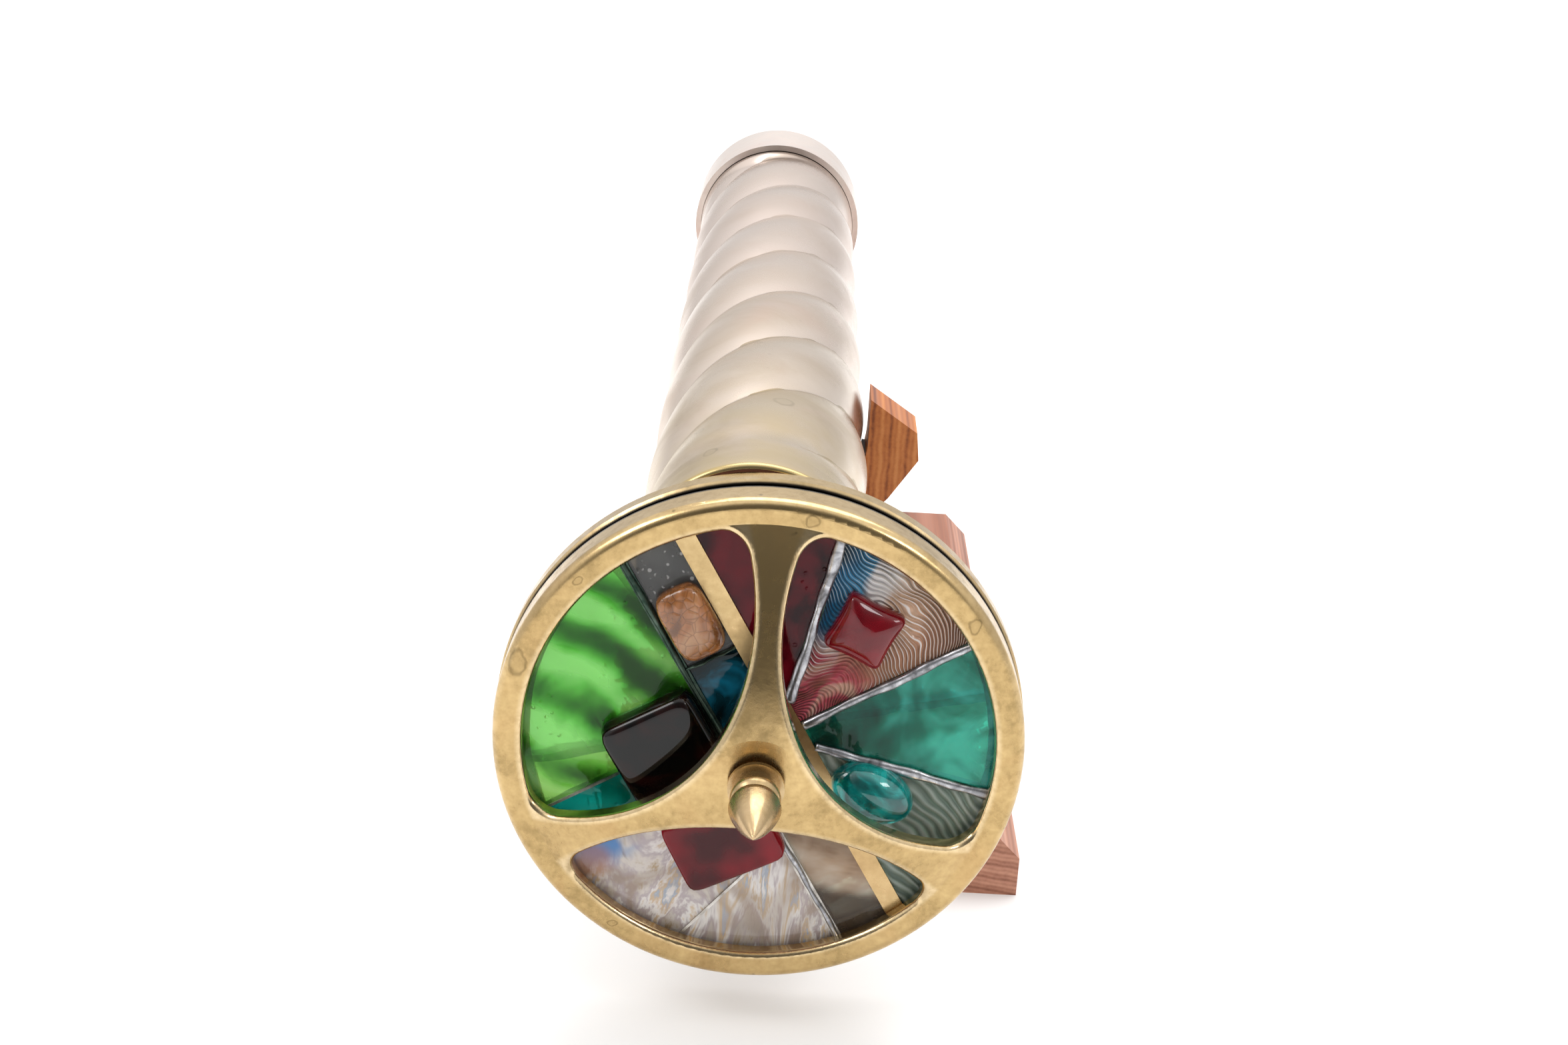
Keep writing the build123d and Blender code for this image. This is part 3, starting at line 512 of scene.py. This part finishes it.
# ---- panes of the front wheel -------------------------------------------------------------------
wine = glass(
    "wine", [(0.34, (0.04, 0.001, 0.005)), (0.66, (0.28, 0.008, 0.022))], 90, 1.5, 0.6, 0.05, seeds=0.12
)
apple = glass(
    "apple_green",
    [
        (0.28, (0.015, 0.10, 0.008)), (0.42, (0.06, 0.32, 0.025)),
        (0.56, (0.15, 0.64, 0.07)), (0.74, (0.38, 0.95, 0.22)),
    ],
    44, 2.4, 0.68, 0.03, waves, 0.2, 0.45, (-42, -6, 0.10, -0.16),
)
sea = glass(
    "sea_green", [(0.30, (0.008, 0.06, 0.045)), (0.50, (0.012, 0.27, 0.20)), (0.70, (0.09, 0.80, 0.66))],
    52, 2.6, 0.7, 0.03, swirls, 0.1, 0.5, (10, 42, -0.14, 0.14),
)
teal = glass(
    "teal", [(0.3, (0.0, 0.17, 0.13)), (0.7, (0.006, 0.40, 0.33))], 50, 1.5, 0.7, 0.03, waves, 0.1, 0.4
)
swirl = glass(
    "teal_swirl", [(0.35, (0.002, 0.008, 0.010)), (0.52, (0.003, 0.035, 0.05)), (0.72, (0.01, 0.20, 0.33))],
    50, 4.0, 0.3, 0.05, swirls,
)
seedy = glass(
    "seedy", [(0.3, (0.10, 0.10, 0.10)), (0.7, (0.24, 0.24, 0.235))], 70, 0.5, 0.6, 0.10, hammered, 0.3
)
speck = seedy.span(seedy.cells(620), 0.16, 0.30, 1.0, 0.0)
speck = seedy.times(speck, seedy.span(seedy.noise(260, 2), 0.47, 0.53))
seedy.colour(seedy.mix(speck, seedy.base(), (0.75, 0.74, 0.72)))
peach = glass(
    "peach", [(0.3, (0.36, 0.22, 0.13)), (0.48, (0.72, 0.54, 0.38)), (0.70, (0.95, 0.84, 0.70))],
    45, 2.5, 0.6, 0.04, swirls, streak=0.3,
)
up = peach.axis(2, peach.shift(SPINDLE))
up = peach.plus(up, peach.span(peach.noise(60, 2), 0.3, 0.7, -2 * MM, 2 * MM))
peach_tone = peach.mix(peach.span(up, -25.5 * MM, -21 * MM, 0.0, 0.55), peach.base(), (0.20, 0.14, 0.10))
peach.colour(peach.mix(peach.span(up, -33.5 * MM, -30 * MM, 0.85, 0.0), peach_tone, (0.035, 0.02, 0.012)))
grey_ripple = glass(
    "grey_ripple", [(0.3, (0.15, 0.21, 0.175)), (0.55, (0.32, 0.40, 0.345)), (0.75, (0.56, 0.63, 0.575))],
    60, 1.0, 0.45, 0.10, fans, streak=0.4,
)


RIDGE_SPACING = 1.15  # in millimetres


def peacock_look():
    """Fan-rolled glass: copper, white and blue zones round the wheel, pink inside, fine ridges."""
    look = Look("peacock", through=0.30, rough=0.10, ior=1.4)
    here = look.shift(SPINDLE, stretch=(1, 0, 1))
    across, up = look.axis(0, here), look.axis(2, here)
    turn = look.math("ARCTAN2", up, across)
    turn = look.plus(turn, look.span(look.noise(55, 2), 0.3, 0.7, -0.08, 0.08))
    outer_zone = look.ramp(
        look.span(turn, 0.5, 1.4),
        [
            (0.10, (0.60, 0.30, 0.18)), (0.36, (0.84, 0.56, 0.38)), (0.41, (0.98, 0.92, 0.88)),
            (0.58, (0.98, 0.95, 0.95)), (0.63, (0.10, 0.40, 0.68)), (0.84, (0.03, 0.22, 0.46)),
            (0.94, (0.08, 0.14, 0.20)),
        ],
    )
    radius = look.length(here)
    inner_zone = look.ramp(
        look.noise(75, 2, 0.5, 2.0),
        [(0.36, (0.30, 0.12, 0.08)), (0.5, (0.66, 0.10, 0.14)), (0.64, (0.80, 0.46, 0.34))],
    )
    tone = look.mix(look.span(radius, 20 * MM, 27 * MM), inner_zone, outer_zone)
    bend = look.times(look.math("SINE", look.times(turn, 7.0)), 4.5 * MM)
    count = look.plus(look.plus(radius, bend), look.times(across, 0.6))
    count = look.plus(count, look.span(look.noise(70, 2), 0.3, 0.7, -1.6 * MM, 1.6 * MM))
    ridge = look.math("SINE", look.times(count, 2 * math.pi / (RIDGE_SPACING * MM)))
    look.bump(ridge, 0.22)
    look.bump(look.noise(240, 3), 0.10)
    dark_line = look.span(ridge, -1.0, -0.25, 0.85, 0.0)
    dark_line = look.times(dark_line, look.span(look.noise(60, 2), 0.38, 0.58, 0.25, 1.0))
    pale_line = look.span(ridge, 0.55, 1.0, 0.0, 0.8)
    pale_line = look.times(pale_line, look.span(look.noise(90, 2), 0.42, 0.56))
    tone = look.mix(dark_line, tone, (0.02, 0.02, 0.025))
    look.colour(look.mix(pale_line, tone, (0.95, 0.93, 0.92)))
    return look


peacock = peacock_look()

PEARL = [
    (0.26, (0.12, 0.08, 0.06)), (0.35, (0.50, 0.36, 0.20)), (0.41, (0.82, 0.76, 0.70)),
    (0.47, (0.58, 0.50, 0.52)), (0.52, (0.93, 0.89, 0.86)), (0.57, (0.72, 0.54, 0.36)),
    (0.61, (0.44, 0.50, 0.60)), (0.66, (0.90, 0.86, 0.83)), (0.78, (0.97, 0.95, 0.93)),
]


def pearl(name, turn, sky):
    """Iridescent glass: drawn-out pale streaks with gold and grey-blue edges.

    turn is the way that the streaks run. sky adds a blue and a copper patch near the edge.
    """
    look = Look(name, through=0.25, rough=0.07, ior=1.5, coat=0.5, coat_rough=0.04)
    place = look.shift(SPINDLE, turn=(0, turn, 0), stretch=(1.0, 0, 0.26))
    swirl_of = look.noise(64, 5, 0.6, 3.2, place)
    tone = look.ramp(swirl_of, PEARL, True)
    shade = look.span(look.noise(46, 3, 0.5, 1.5), 0.42, 0.62, 0.0, 0.75)
    tone = look.mix(shade, tone, (0.36, 0.25, 0.17))
    if sky:
        patch = look.near((SPINDLE.x - 0.0295, GLASS_FACE, SPINDLE.z - 0.0215), 0.010, 0.6, (1, 0, 1.2))
        patch = look.math("MULTIPLY", patch, look.span(look.noise(120, 3, 0.5, 1.0), 0.34, 0.50))
        tone = look.mix(patch, tone, (0.06, 0.25, 0.62))
        ember = look.near((SPINDLE.x - 0.030, GLASS_FACE, SPINDLE.z - 0.027), 0.005, 0.6, (1, 0, 1))
        tone = look.mix(look.math("MULTIPLY", ember, 0.6), tone, (0.45, 0.14, 0.04))
    low = look.span(look.axis(2, look.shift(SPINDLE)), -41 * MM, -34 * MM, 0.55, 0.0)
    low = look.times(low, look.span(swirl_of, 0.42, 0.56, 1.0, 0.2))
    tone = look.mix(low, tone, (0.16, 0.10, 0.06))
    look.colour(tone)
    look.bump(swirl_of, 0.35)
    return look


PANES = {
    "pane_wine": wine, "pane_peacock": peacock, "pane_sea_green": sea, "pane_grey_ripple": grey_ripple,
    "pane_seedy": seedy, "pane_teal_swirl": swirl, "pane_peach": peach, "pane_apple_green": apple,
    "pane_teal": teal, "pane_pearl_left": pearl("pearl_left", 55, True),
    "pane_pearl_right": pearl("pearl_right", 14, False),
}
REAR_TINTS = {
    "clear": (0.92, 0.93, 0.92), "amber": (0.95, 0.80, 0.55), "blue": (0.62, 0.78, 0.92),
    "rose": (0.93, 0.74, 0.74), "aqua": (0.68, 0.90, 0.88), "green": (0.72, 0.90, 0.66),
}
for tint, colour in REAR_TINTS.items():
    deep = tuple(c * 0.75 for c in colour)
    PANES["rear_pane_" + tint] = glass(
        "rear_" + tint, [(0.3, deep), (0.7, colour)], 50, 2.0, 0.95, 0.04, swirls, 0.1
    )

# ---- put the materials on the CAD nodes ---------------------------------------------------------
LOOKS = {
    "front_cover": cover_brass, "rear_rim": rim_brass, "spindle_saddle": rim_brass,
    "eyepiece_cap": cap_brass, "brass_bar": bar_brass, "front_retaining_ring": bar_brass,
    "finial_nut": turned_brass, "front_washer": turned_brass, "mid_washer": turned_brass,
    "rear_washer": turned_brass, "front_bush": turned_brass, "rear_bush": turned_brass,
    "spindle": turned_brass, "spindle_nut": turned_brass,
    "stand_base": wood_base, "front_cradle": wood_cradle, "rear_cradle": wood_cradle,
    "front_felt": felt, "rear_felt": felt, "cradle_screws": steel, "rear_leads": lead,
    "mirror_base": mirror, "mirror_left": mirror, "mirror_right": mirror,
    "mirror_ring_front": black_ring, "mirror_ring_rear": black_ring, "object_ring": black_ring,
    "eye_retainer": black_ring, "object_window": clear, "eye_lens": clear, **PANES,
}


def wear(name, look):
    """Give a CAD node its material."""
    mesh = frame["nodes"][name].data
    mesh.materials.clear()
    mesh.materials.append(look.material)


for name, look in LOOKS.items():
    wear(name, look)


# ---- pieces made here ---------------------------------------------------------------------------
def piece(name, vertices, faces, look, body, slot, *replaced):
    """Make a mesh, give it its looks, and say what it rides on and what it replaces."""
    mesh = bpy.data.meshes.new(name)
    mesh.from_pydata([tuple(v) for v in vertices], [], faces)
    mesh.validate()
    mesh.update()
    tidy = bmesh.new()
    tidy.from_mesh(mesh)
    bmesh.ops.recalc_face_normals(tidy, faces=tidy.faces)
    tidy.to_mesh(mesh)
    tidy.free()
    for polygon in mesh.polygons:
        polygon.use_smooth = True
    made = bpy.data.objects.new(name, mesh)
    bpy.context.scene.collection.objects.link(made)
    looks = look if isinstance(look, (list, tuple)) else [look]
    for one in looks:
        mesh.materials.append(one.material)
    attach(made, body)
    if replaced:
        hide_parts(*replaced)
    return made


def twisted_barrel():
    """The rope-twisted tube: three lobes with sharp valleys that fade into plain bands."""
    around, steps = 252, 300
    rounded_lip = {TUBE_FRONT: 21.1, 14.3: 21.45, 14.5: 21.75, 14.8: 21.92}
    flared_bore = {14.4: BORE_R + 0.25, TUBE_FRONT: BORE_R + 0.6}
    outside = [*rounded_lip, 15.2, 18.0, 22.0, 26.0]
    outside += [TWIST_START + i * (TWIST_END - TWIST_START) / steps for i in range(steps + 1)]
    outside += [296.0, TUBE_REAR]
    inside = (TUBE_REAR, 18.0, 14.9, *flared_bore)
    first_valley = math.radians(FIRST_VALLEY)
    vertices, faces = [], []
    for s in outside:
        fade = min(1.0, max(0.0, (s - TWIST_START) / 9.0)) * min(1.0, max(0.0, (TWIST_END - s) / 5.0))
        fade = fade * fade * (3 - 2 * fade)
        twist = first_valley - 2 * math.pi * (s - TWIST_START) / TWIST_LEAD
        band = FRONT_BAND_R if s < 100 else REAR_BAND_R
        for i in range(around):
            lobe = (i / around * TWIST_LOBES) % 1.0
            arch = 1 - (2 * lobe - 1) ** 2
            radius = rounded_lip.get(s, band + fade * (VALLEY_R + (CREST_R - VALLEY_R) * arch - band))
            angle = twist + 2 * math.pi * i / around
            vertices.append((radius * math.cos(angle), s, radius * math.sin(angle)))
    for s in inside:
        radius = flared_bore.get(s, BORE_R)
        for i in range(around):
            angle = first_valley + 2 * math.pi * i / around
            vertices.append((radius * math.cos(angle), s, radius * math.sin(angle)))
    rows = len(outside) + len(inside)
    for row in range(rows - 1):
        if row == len(outside) - 1:
            continue
        below, above = row * around, (row + 1) * around
        for i in range(around):
            j = (i + 1) % around
            faces.append((below + i, below + j, above + j, above + i))
    # the two ends join rings that the twist has turned against each other
    last_outer, first_inner, last_inner = [n * around for n in (len(outside) - 1, len(outside), rows - 1)]
    rear_turn, front_turn = [
        round((s - TWIST_START) / TWIST_LEAD * around) for s in (TUBE_REAR, TUBE_FRONT)
    ]
    for i in range(around):
        j = (i + 1) % around
        k, m = (i - rear_turn) % around, (j - rear_turn) % around
        faces.append((last_outer + i, last_outer + j, first_inner + m, first_inner + k))
        k, m = (i + front_turn) % around, (j + front_turn) % around
        faces.append((last_inner + k, last_inner + m, j, i))
    placed = [(BARREL.x + x * MM, RIM_FACE + s * MM, BARREL.z + z * MM) for x, s, z in vertices]
    looks = (barrel_brass, inside_dark)
    made = piece("twisted_barrel", placed, faces, looks, "scope", "brass", "barrel_tube")
    for polygon in made.data.polygons:
        centre = polygon.center
        radius = math.hypot(centre.x - BARREL.x, centre.z - BARREL.z) / MM
        polygon.material_index = 1 if radius < BORE_R + 0.1 else 0


twisted_barrel()


def jewel(name, node, look, outline, height, dome, rings=20, around=72):
    """A glass jewel on the panes: an outline in wheel millimetres, and how it domes."""
    vertices, faces = [], []
    for ring in range(rings + 1):
        t = ring / rings
        for i in range(around):
            x, z, lift = outline(2 * math.pi * i / around, t)
            vertices.append((x, dome(t, lift) * height, z))
    for ring in range(rings):
        for i in range(around):
            j = (i + 1) % around
            a, b = ring * around, (ring + 1) * around
            faces.append((a + i, a + j, b + j, b + i))
    faces.append(tuple(range(around)))
    faces.append(tuple(range(rings * around, (rings + 1) * around)))
    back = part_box(node)[1].y
    placed = [(SPINDLE.x + x * MM, back - y * MM, SPINDLE.z + z * MM) for x, y, z in vertices]
    piece(name, placed, faces, look, "front_wheel", frame_slot(node), node)


def frame_slot(node):
    """The material slot that the part's record gives this node."""
    return next(s["material_slot"] for s in frame["record"]["subparts"] if s["node"] == node)


def cushion(centre, size, turn, power, pinch=0.0, edge=0.12):
    """Outline of a rounded block: rings shrink towards the top, corners by a superellipse."""
    cos_t, sin_t = math.cos(math.radians(turn)), math.sin(math.radians(turn))

    def at(angle, t):
        shrink = 1.0 if t < edge else 1 - (t - edge) / (1 - edge) * 0.96
        c, s = math.cos(angle), math.sin(angle)
        radius = (abs(c) ** power + abs(s) ** power) ** (-1 / power)
        u, v = radius * c, radius * s
        u, v = u * (1 - pinch * (1 - v * v)), v * (1 - pinch * (1 - u * u))
        x, z = u * shrink * size[0] / 2, v * shrink * size[1] / 2
        return centre[0] + x * cos_t - z * sin_t, centre[1] + x * sin_t + z * cos_t, shrink

    return at


def round_top(power, edge=0.12, wall=0.45):
    """How a jewel rises: a straight wall over its edge, then a dome."""

    def at(t, shrink):
        if t < edge:
            return wall * t / edge
        return wall + (1 - wall) * (1 - shrink**power) ** (1 / power)

    return at


red = Look("jewel_red", through=0.45, rough=0.02, ior=1.42, coat=0.25, coat_rough=0.02)
red.colour(red.ramp(red.noise(120, 2), [(0.3, (0.16, 0.0, 0.006)), (0.7, (0.34, 0.003, 0.014))]))
teal_gem = Look("jewel_teal", through=0.6, rough=0.01, ior=1.5, coat=0.6, coat_rough=0.02)
teal_gem.colour(
    teal_gem.ramp(teal_gem.noise(150, 2, 0.5, 2), [(0.35, (0.0, 0.17, 0.165)), (0.62, (0.02, 0.62, 0.57))])
)
black_gem = Look("jewel_black", through=0.0, rough=0.05, ior=1.42)
NEAR_BLACK = [(0.45, (0.0015, 0.0015, 0.0015)), (0.8, (0.02, 0.003, 0.002))]
black_gem.colour(black_gem.ramp(black_gem.noise(90, 2, 0.5, 2), NEAR_BLACK))
garnet = Look("jewel_garnet", through=0.35, rough=0.04, ior=1.38)
garnet.colour(garnet.ramp(garnet.noise(80, 2), [(0.35, (0.07, 0.001, 0.004)), (0.65, (0.36, 0.008, 0.02))]))
amber = Look("jewel_amber", through=0.5, rough=0.12, ior=1.5, coat=0.6, coat_rough=0.05)
crackle = amber.cells(520, "DISTANCE_TO_EDGE")
amber_tone = amber.ramp(
    amber.noise(80, 3, 0.5, 1.5),
    [(0.35, (0.24, 0.09, 0.025)), (0.5, (0.54, 0.21, 0.065)), (0.68, (0.74, 0.39, 0.18))],
)
amber.colour(amber.mix(amber.span(crackle, 0.0, 0.08, 0.45, 0.0), amber_tone, (0.16, 0.06, 0.02)))
amber.bump(crackle, 0.3)
for gem in (red, teal_gem, black_gem, garnet):
    gem.bump(gem.noise(60, 2), 0.12)

jewel(
    "red_pillow", "jewel_red", red,
    cushion(centre=(18.0, 24.3), size=(12.1, 12.1), turn=-25.0, power=7.0, pinch=0.10),
    height=4.6, dome=round_top(1.7),
)
jewel(
    "black_nugget", "jewel_black", black_gem,
    cushion(centre=(-16.6, -2.4), size=(18.8, 20.6), turn=30.0, power=9.0),
    height=5.0, dome=round_top(5.0),
)
jewel(
    "garnet_nugget", "jewel_garnet", garnet,
    cushion(centre=(-5.6, -19.8), size=(20.2, 15.2), turn=27.0, power=10.0),
    height=4.2, dome=round_top(5.0),
)
jewel(
    "amber_nugget", "jewel_amber", amber,
    cushion(centre=(-13.4, 24.0), size=(14.3, 9.2), turn=-60.0, power=4.0),
    height=3.6, dome=round_top(2.4),
)
jewel(
    "teal_oval", "jewel_teal", teal_gem,
    cushion(centre=(21.6, -8.6), size=(16.2, 10.9), turn=-24.0, power=2.0),
    height=5.6, dome=round_top(2.0, edge=0.08, wall=0.2),
)


def bead(start, end, width, seed, steps=60, across=8):
    """A bead of solder along a lead line: half round, uneven in width and height."""
    a, b = Vector(start), Vector(end)
    line, side = (b - a), Vector((-(b - a).y, (b - a).x)).normalized()
    vertices, faces = [], []
    for i in range(steps + 1):
        t = i / steps
        wobble = 1 + 0.16 * math.sin(9 * t + seed) + 0.10 * math.sin(31 * t + 2.3 * seed)
        drift = 0.12 * math.sin(13 * t + 1.7 * seed)
        for j in range(across + 1):
            turn = math.pi * j / across
            off = math.cos(turn) * width / 2 * wobble + drift
            p = a + line * t + side * off
            vertices.append((p.x, -0.36 - 0.75 * math.sin(turn) * wobble, p.y))
    row = across + 1
    for i in range(steps):
        low, high = i * row, (i + 1) * row
        for j in range(across):
            faces.append((low + j, low + j + 1, high + j + 1, high + j))
        faces.append((low + across, low, high, high + across))
    faces.append(tuple(range(row)))
    faces.append(tuple(range(steps * row, (steps + 1) * row)))
    return vertices, faces


def polar(angle, radius):
    """A point of the wheel, in millimetres to the right and up."""
    return (radius * math.cos(math.radians(angle)), radius * math.sin(math.radians(angle)))


def bar_point(u, v):
    """A point of the wheel, by how far it is across the bar and along it."""
    across, along_bar = polar(BAR_TURN, u), polar(BAR_TURN + 90, v)
    return (across[0] + along_bar[0], across[1] + along_bar[1])


def strip_group(name, lines, look, slot):
    """One piece with a bead along every line, each a start, an end and a width."""
    vertices, faces = [], []
    for number, (start, end, width) in enumerate(lines):
        new_vertices, new_faces = bead(start, end, width, number * 1.9 + 0.4)
        faces += [tuple(i + len(vertices) for i in face) for face in new_faces]
        vertices += new_vertices
    placed = [(SPINDLE.x + x * MM, GLASS_FACE + y * MM, SPINDLE.z + z * MM) for x, y, z in vertices]
    piece(name, placed, faces, look, "front_wheel", slot)


def from_focus(angle, width):
    """A lead line from the bar's outer edge to the edge of the glass."""
    run = polar(angle, 1.0)
    bar_way = polar(BAR_TURN, 1)
    across = FOCUS[0] * bar_way[0] + FOCUS[1] * bar_way[1]
    start = (BAR_OUT + 0.2 - across) / math.cos(math.radians(angle - BAR_TURN))
    lean = FOCUS[0] * run[0] + FOCUS[1] * run[1]
    end = math.sqrt(GLASS_R**2 - FOCUS[0] ** 2 - FOCUS[1] ** 2 + lean**2) - lean
    near, far_end = [(FOCUS[0] + run[0] * r, FOCUS[1] + run[1] * r) for r in (start, end)]
    return near, far_end, width


solder = [from_focus(76.9, 1.9), from_focus(31.0, 1.7), from_focus(-13.6, 2.0)]
solder += [(bar_point(SEAM_U, -20), bar_point(SEAM_U, -44.2), 1.0)]
strip_group("solder_beads", solder, lead, "lead")
foils = [(bar_point(SEAM_U, -19), bar_point(SEAM_U, 44.2), 1.1)]
foils += [(bar_point(SEAM_U, -6), polar(209, GLASS_R), 0.8)]
foils += [(bar_point(-4.9, 19.0), bar_point(4.9, 19.0), 0.6)]
strip_group("foil_lines", foils, dark_foil, "lead")
leads = Look("front_leads", metal=0.8, rough=0.4)
low_part = leads.span(leads.axis(2, leads.shift(SPINDLE)), -14 * MM, -8 * MM, 1.0, 0.0)
foil_tone = leads.ramp(leads.noise(500, 3), FOIL)
pale_tone = leads.ramp(leads.noise(420, 3), [(0.3, (0.30, 0.27, 0.24)), (0.7, (0.75, 0.72, 0.68))])
leads.colour(leads.mix(low_part, foil_tone, pale_tone))
leads.bump(leads.noise(600, 3), 0.06)
wear("front_leads", leads)

# ---- floor, light, camera -----------------------------------------------------------------------
floor_mesh = bpy.data.meshes.new("floor")
floor_mesh.from_pydata([(-6, -6, 0), (6, -6, 0), (6, 6, 0), (-6, 6, 0)], [], [(0, 1, 2, 3)])
floor = bpy.data.objects.new("floor", floor_mesh)
bpy.context.scene.collection.objects.link(floor)
paper = Look("paper", rough=0.9)
paper.colour(paper.ramp(paper.noise(3, 2), [(0.3, (0.93, 0.93, 0.93)), (0.7, (0.95, 0.95, 0.95))]))
floor_mesh.materials.append(paper.material)

world = bpy.data.worlds.new("studio")
bpy.context.scene.world = world
world.use_nodes = True
sky = world.node_tree
background = sky.nodes["Background"]
direction = sky.nodes.new("ShaderNodeTexCoord").outputs["Generated"]
facing = sky.nodes.new("ShaderNodeVectorMath")
facing.operation = "DOT_PRODUCT"
facing.inputs[1].default_value = (0.0, -0.94, 0.34)
sky.links.new(direction, facing.inputs[0])
height = sky.nodes.new("ShaderNodeSeparateXYZ")
sky.links.new(direction, height.inputs[0])


def sky_span(value, low, high, to_low, to_high):
    made = sky.nodes.new("ShaderNodeMapRange")
    made.interpolation_type = "SMOOTHSTEP"
    sky.links.new(value, made.inputs["Value"])
    for key, number in (("From Min", low), ("From Max", high), ("To Min", to_low), ("To Max", to_high)):
        made.inputs[key].default_value = number
    return made.outputs[0]


# dim in front of the wheels, and brighter overhead than near the horizon
shade = sky.nodes.new("ShaderNodeMath")
shade.operation = "MULTIPLY"
sky.links.new(sky_span(facing.outputs["Value"], 0.62, 0.97, 1.0, 0.16), shade.inputs[0])
sky.links.new(sky_span(height.outputs[2], 0.05, 0.75, 0.74, 1.12), shade.inputs[1])
sky.links.new(shade.outputs[0], background.inputs["Color"])
background.inputs["Strength"].default_value = 1.12


def softbox(name, place, aim, size, power):
    """A rectangular lamp at a place in metres, aimed at a point, with its power in watts."""
    light = bpy.data.lights.new(name, "AREA")
    light.shape = "RECTANGLE"
    light.size, light.size_y = size
    light.energy = power
    made = bpy.data.objects.new(name, light)
    made.location = place
    made.rotation_euler = (Vector(aim) - Vector(place)).to_track_quat("-Z", "Y").to_euler()
    bpy.context.scene.collection.objects.link(made)


softbox("top_box", (0.15, 0.35, 1.3), (0, 0, 0.05), (1.2, 0.9), 9.0)
softbox("left_box", (-0.75, -0.45, 0.85), (0, -0.1, 0.05), (0.5, 0.35), 3.0)
softbox("right_box", (0.65, -0.65, 0.7), (0, -0.1, 0.05), (0.3, 0.2), 1.6)

CAMERA_AT = (-0.0117, -0.5103, 0.2455)
PITCH, YAW, ROLL = 0.3717, 0.0071, 0.0576  # radians
look_along = Vector((math.sin(YAW) * math.cos(PITCH), math.cos(YAW) * math.cos(PITCH), -math.sin(PITCH)))
level_right = Vector((math.cos(YAW), -math.sin(YAW), 0))
level_up = level_right.cross(look_along)
camera_x = level_right * math.cos(ROLL) + level_up * math.sin(ROLL)
camera_y = level_up * math.cos(ROLL) - level_right * math.sin(ROLL)
camera = bpy.data.objects.new("camera", bpy.data.cameras.new("camera"))
camera.data.lens = 50.5
camera.data.sensor_width = 36.0
axes = Matrix((camera_x, camera_y, -look_along)).transposed().to_4x4()
camera.matrix_world = Matrix.Translation(CAMERA_AT) @ axes
bpy.context.scene.collection.objects.link(camera)
bpy.context.scene.camera = camera
bpy.context.scene.view_settings.view_transform = "Standard"
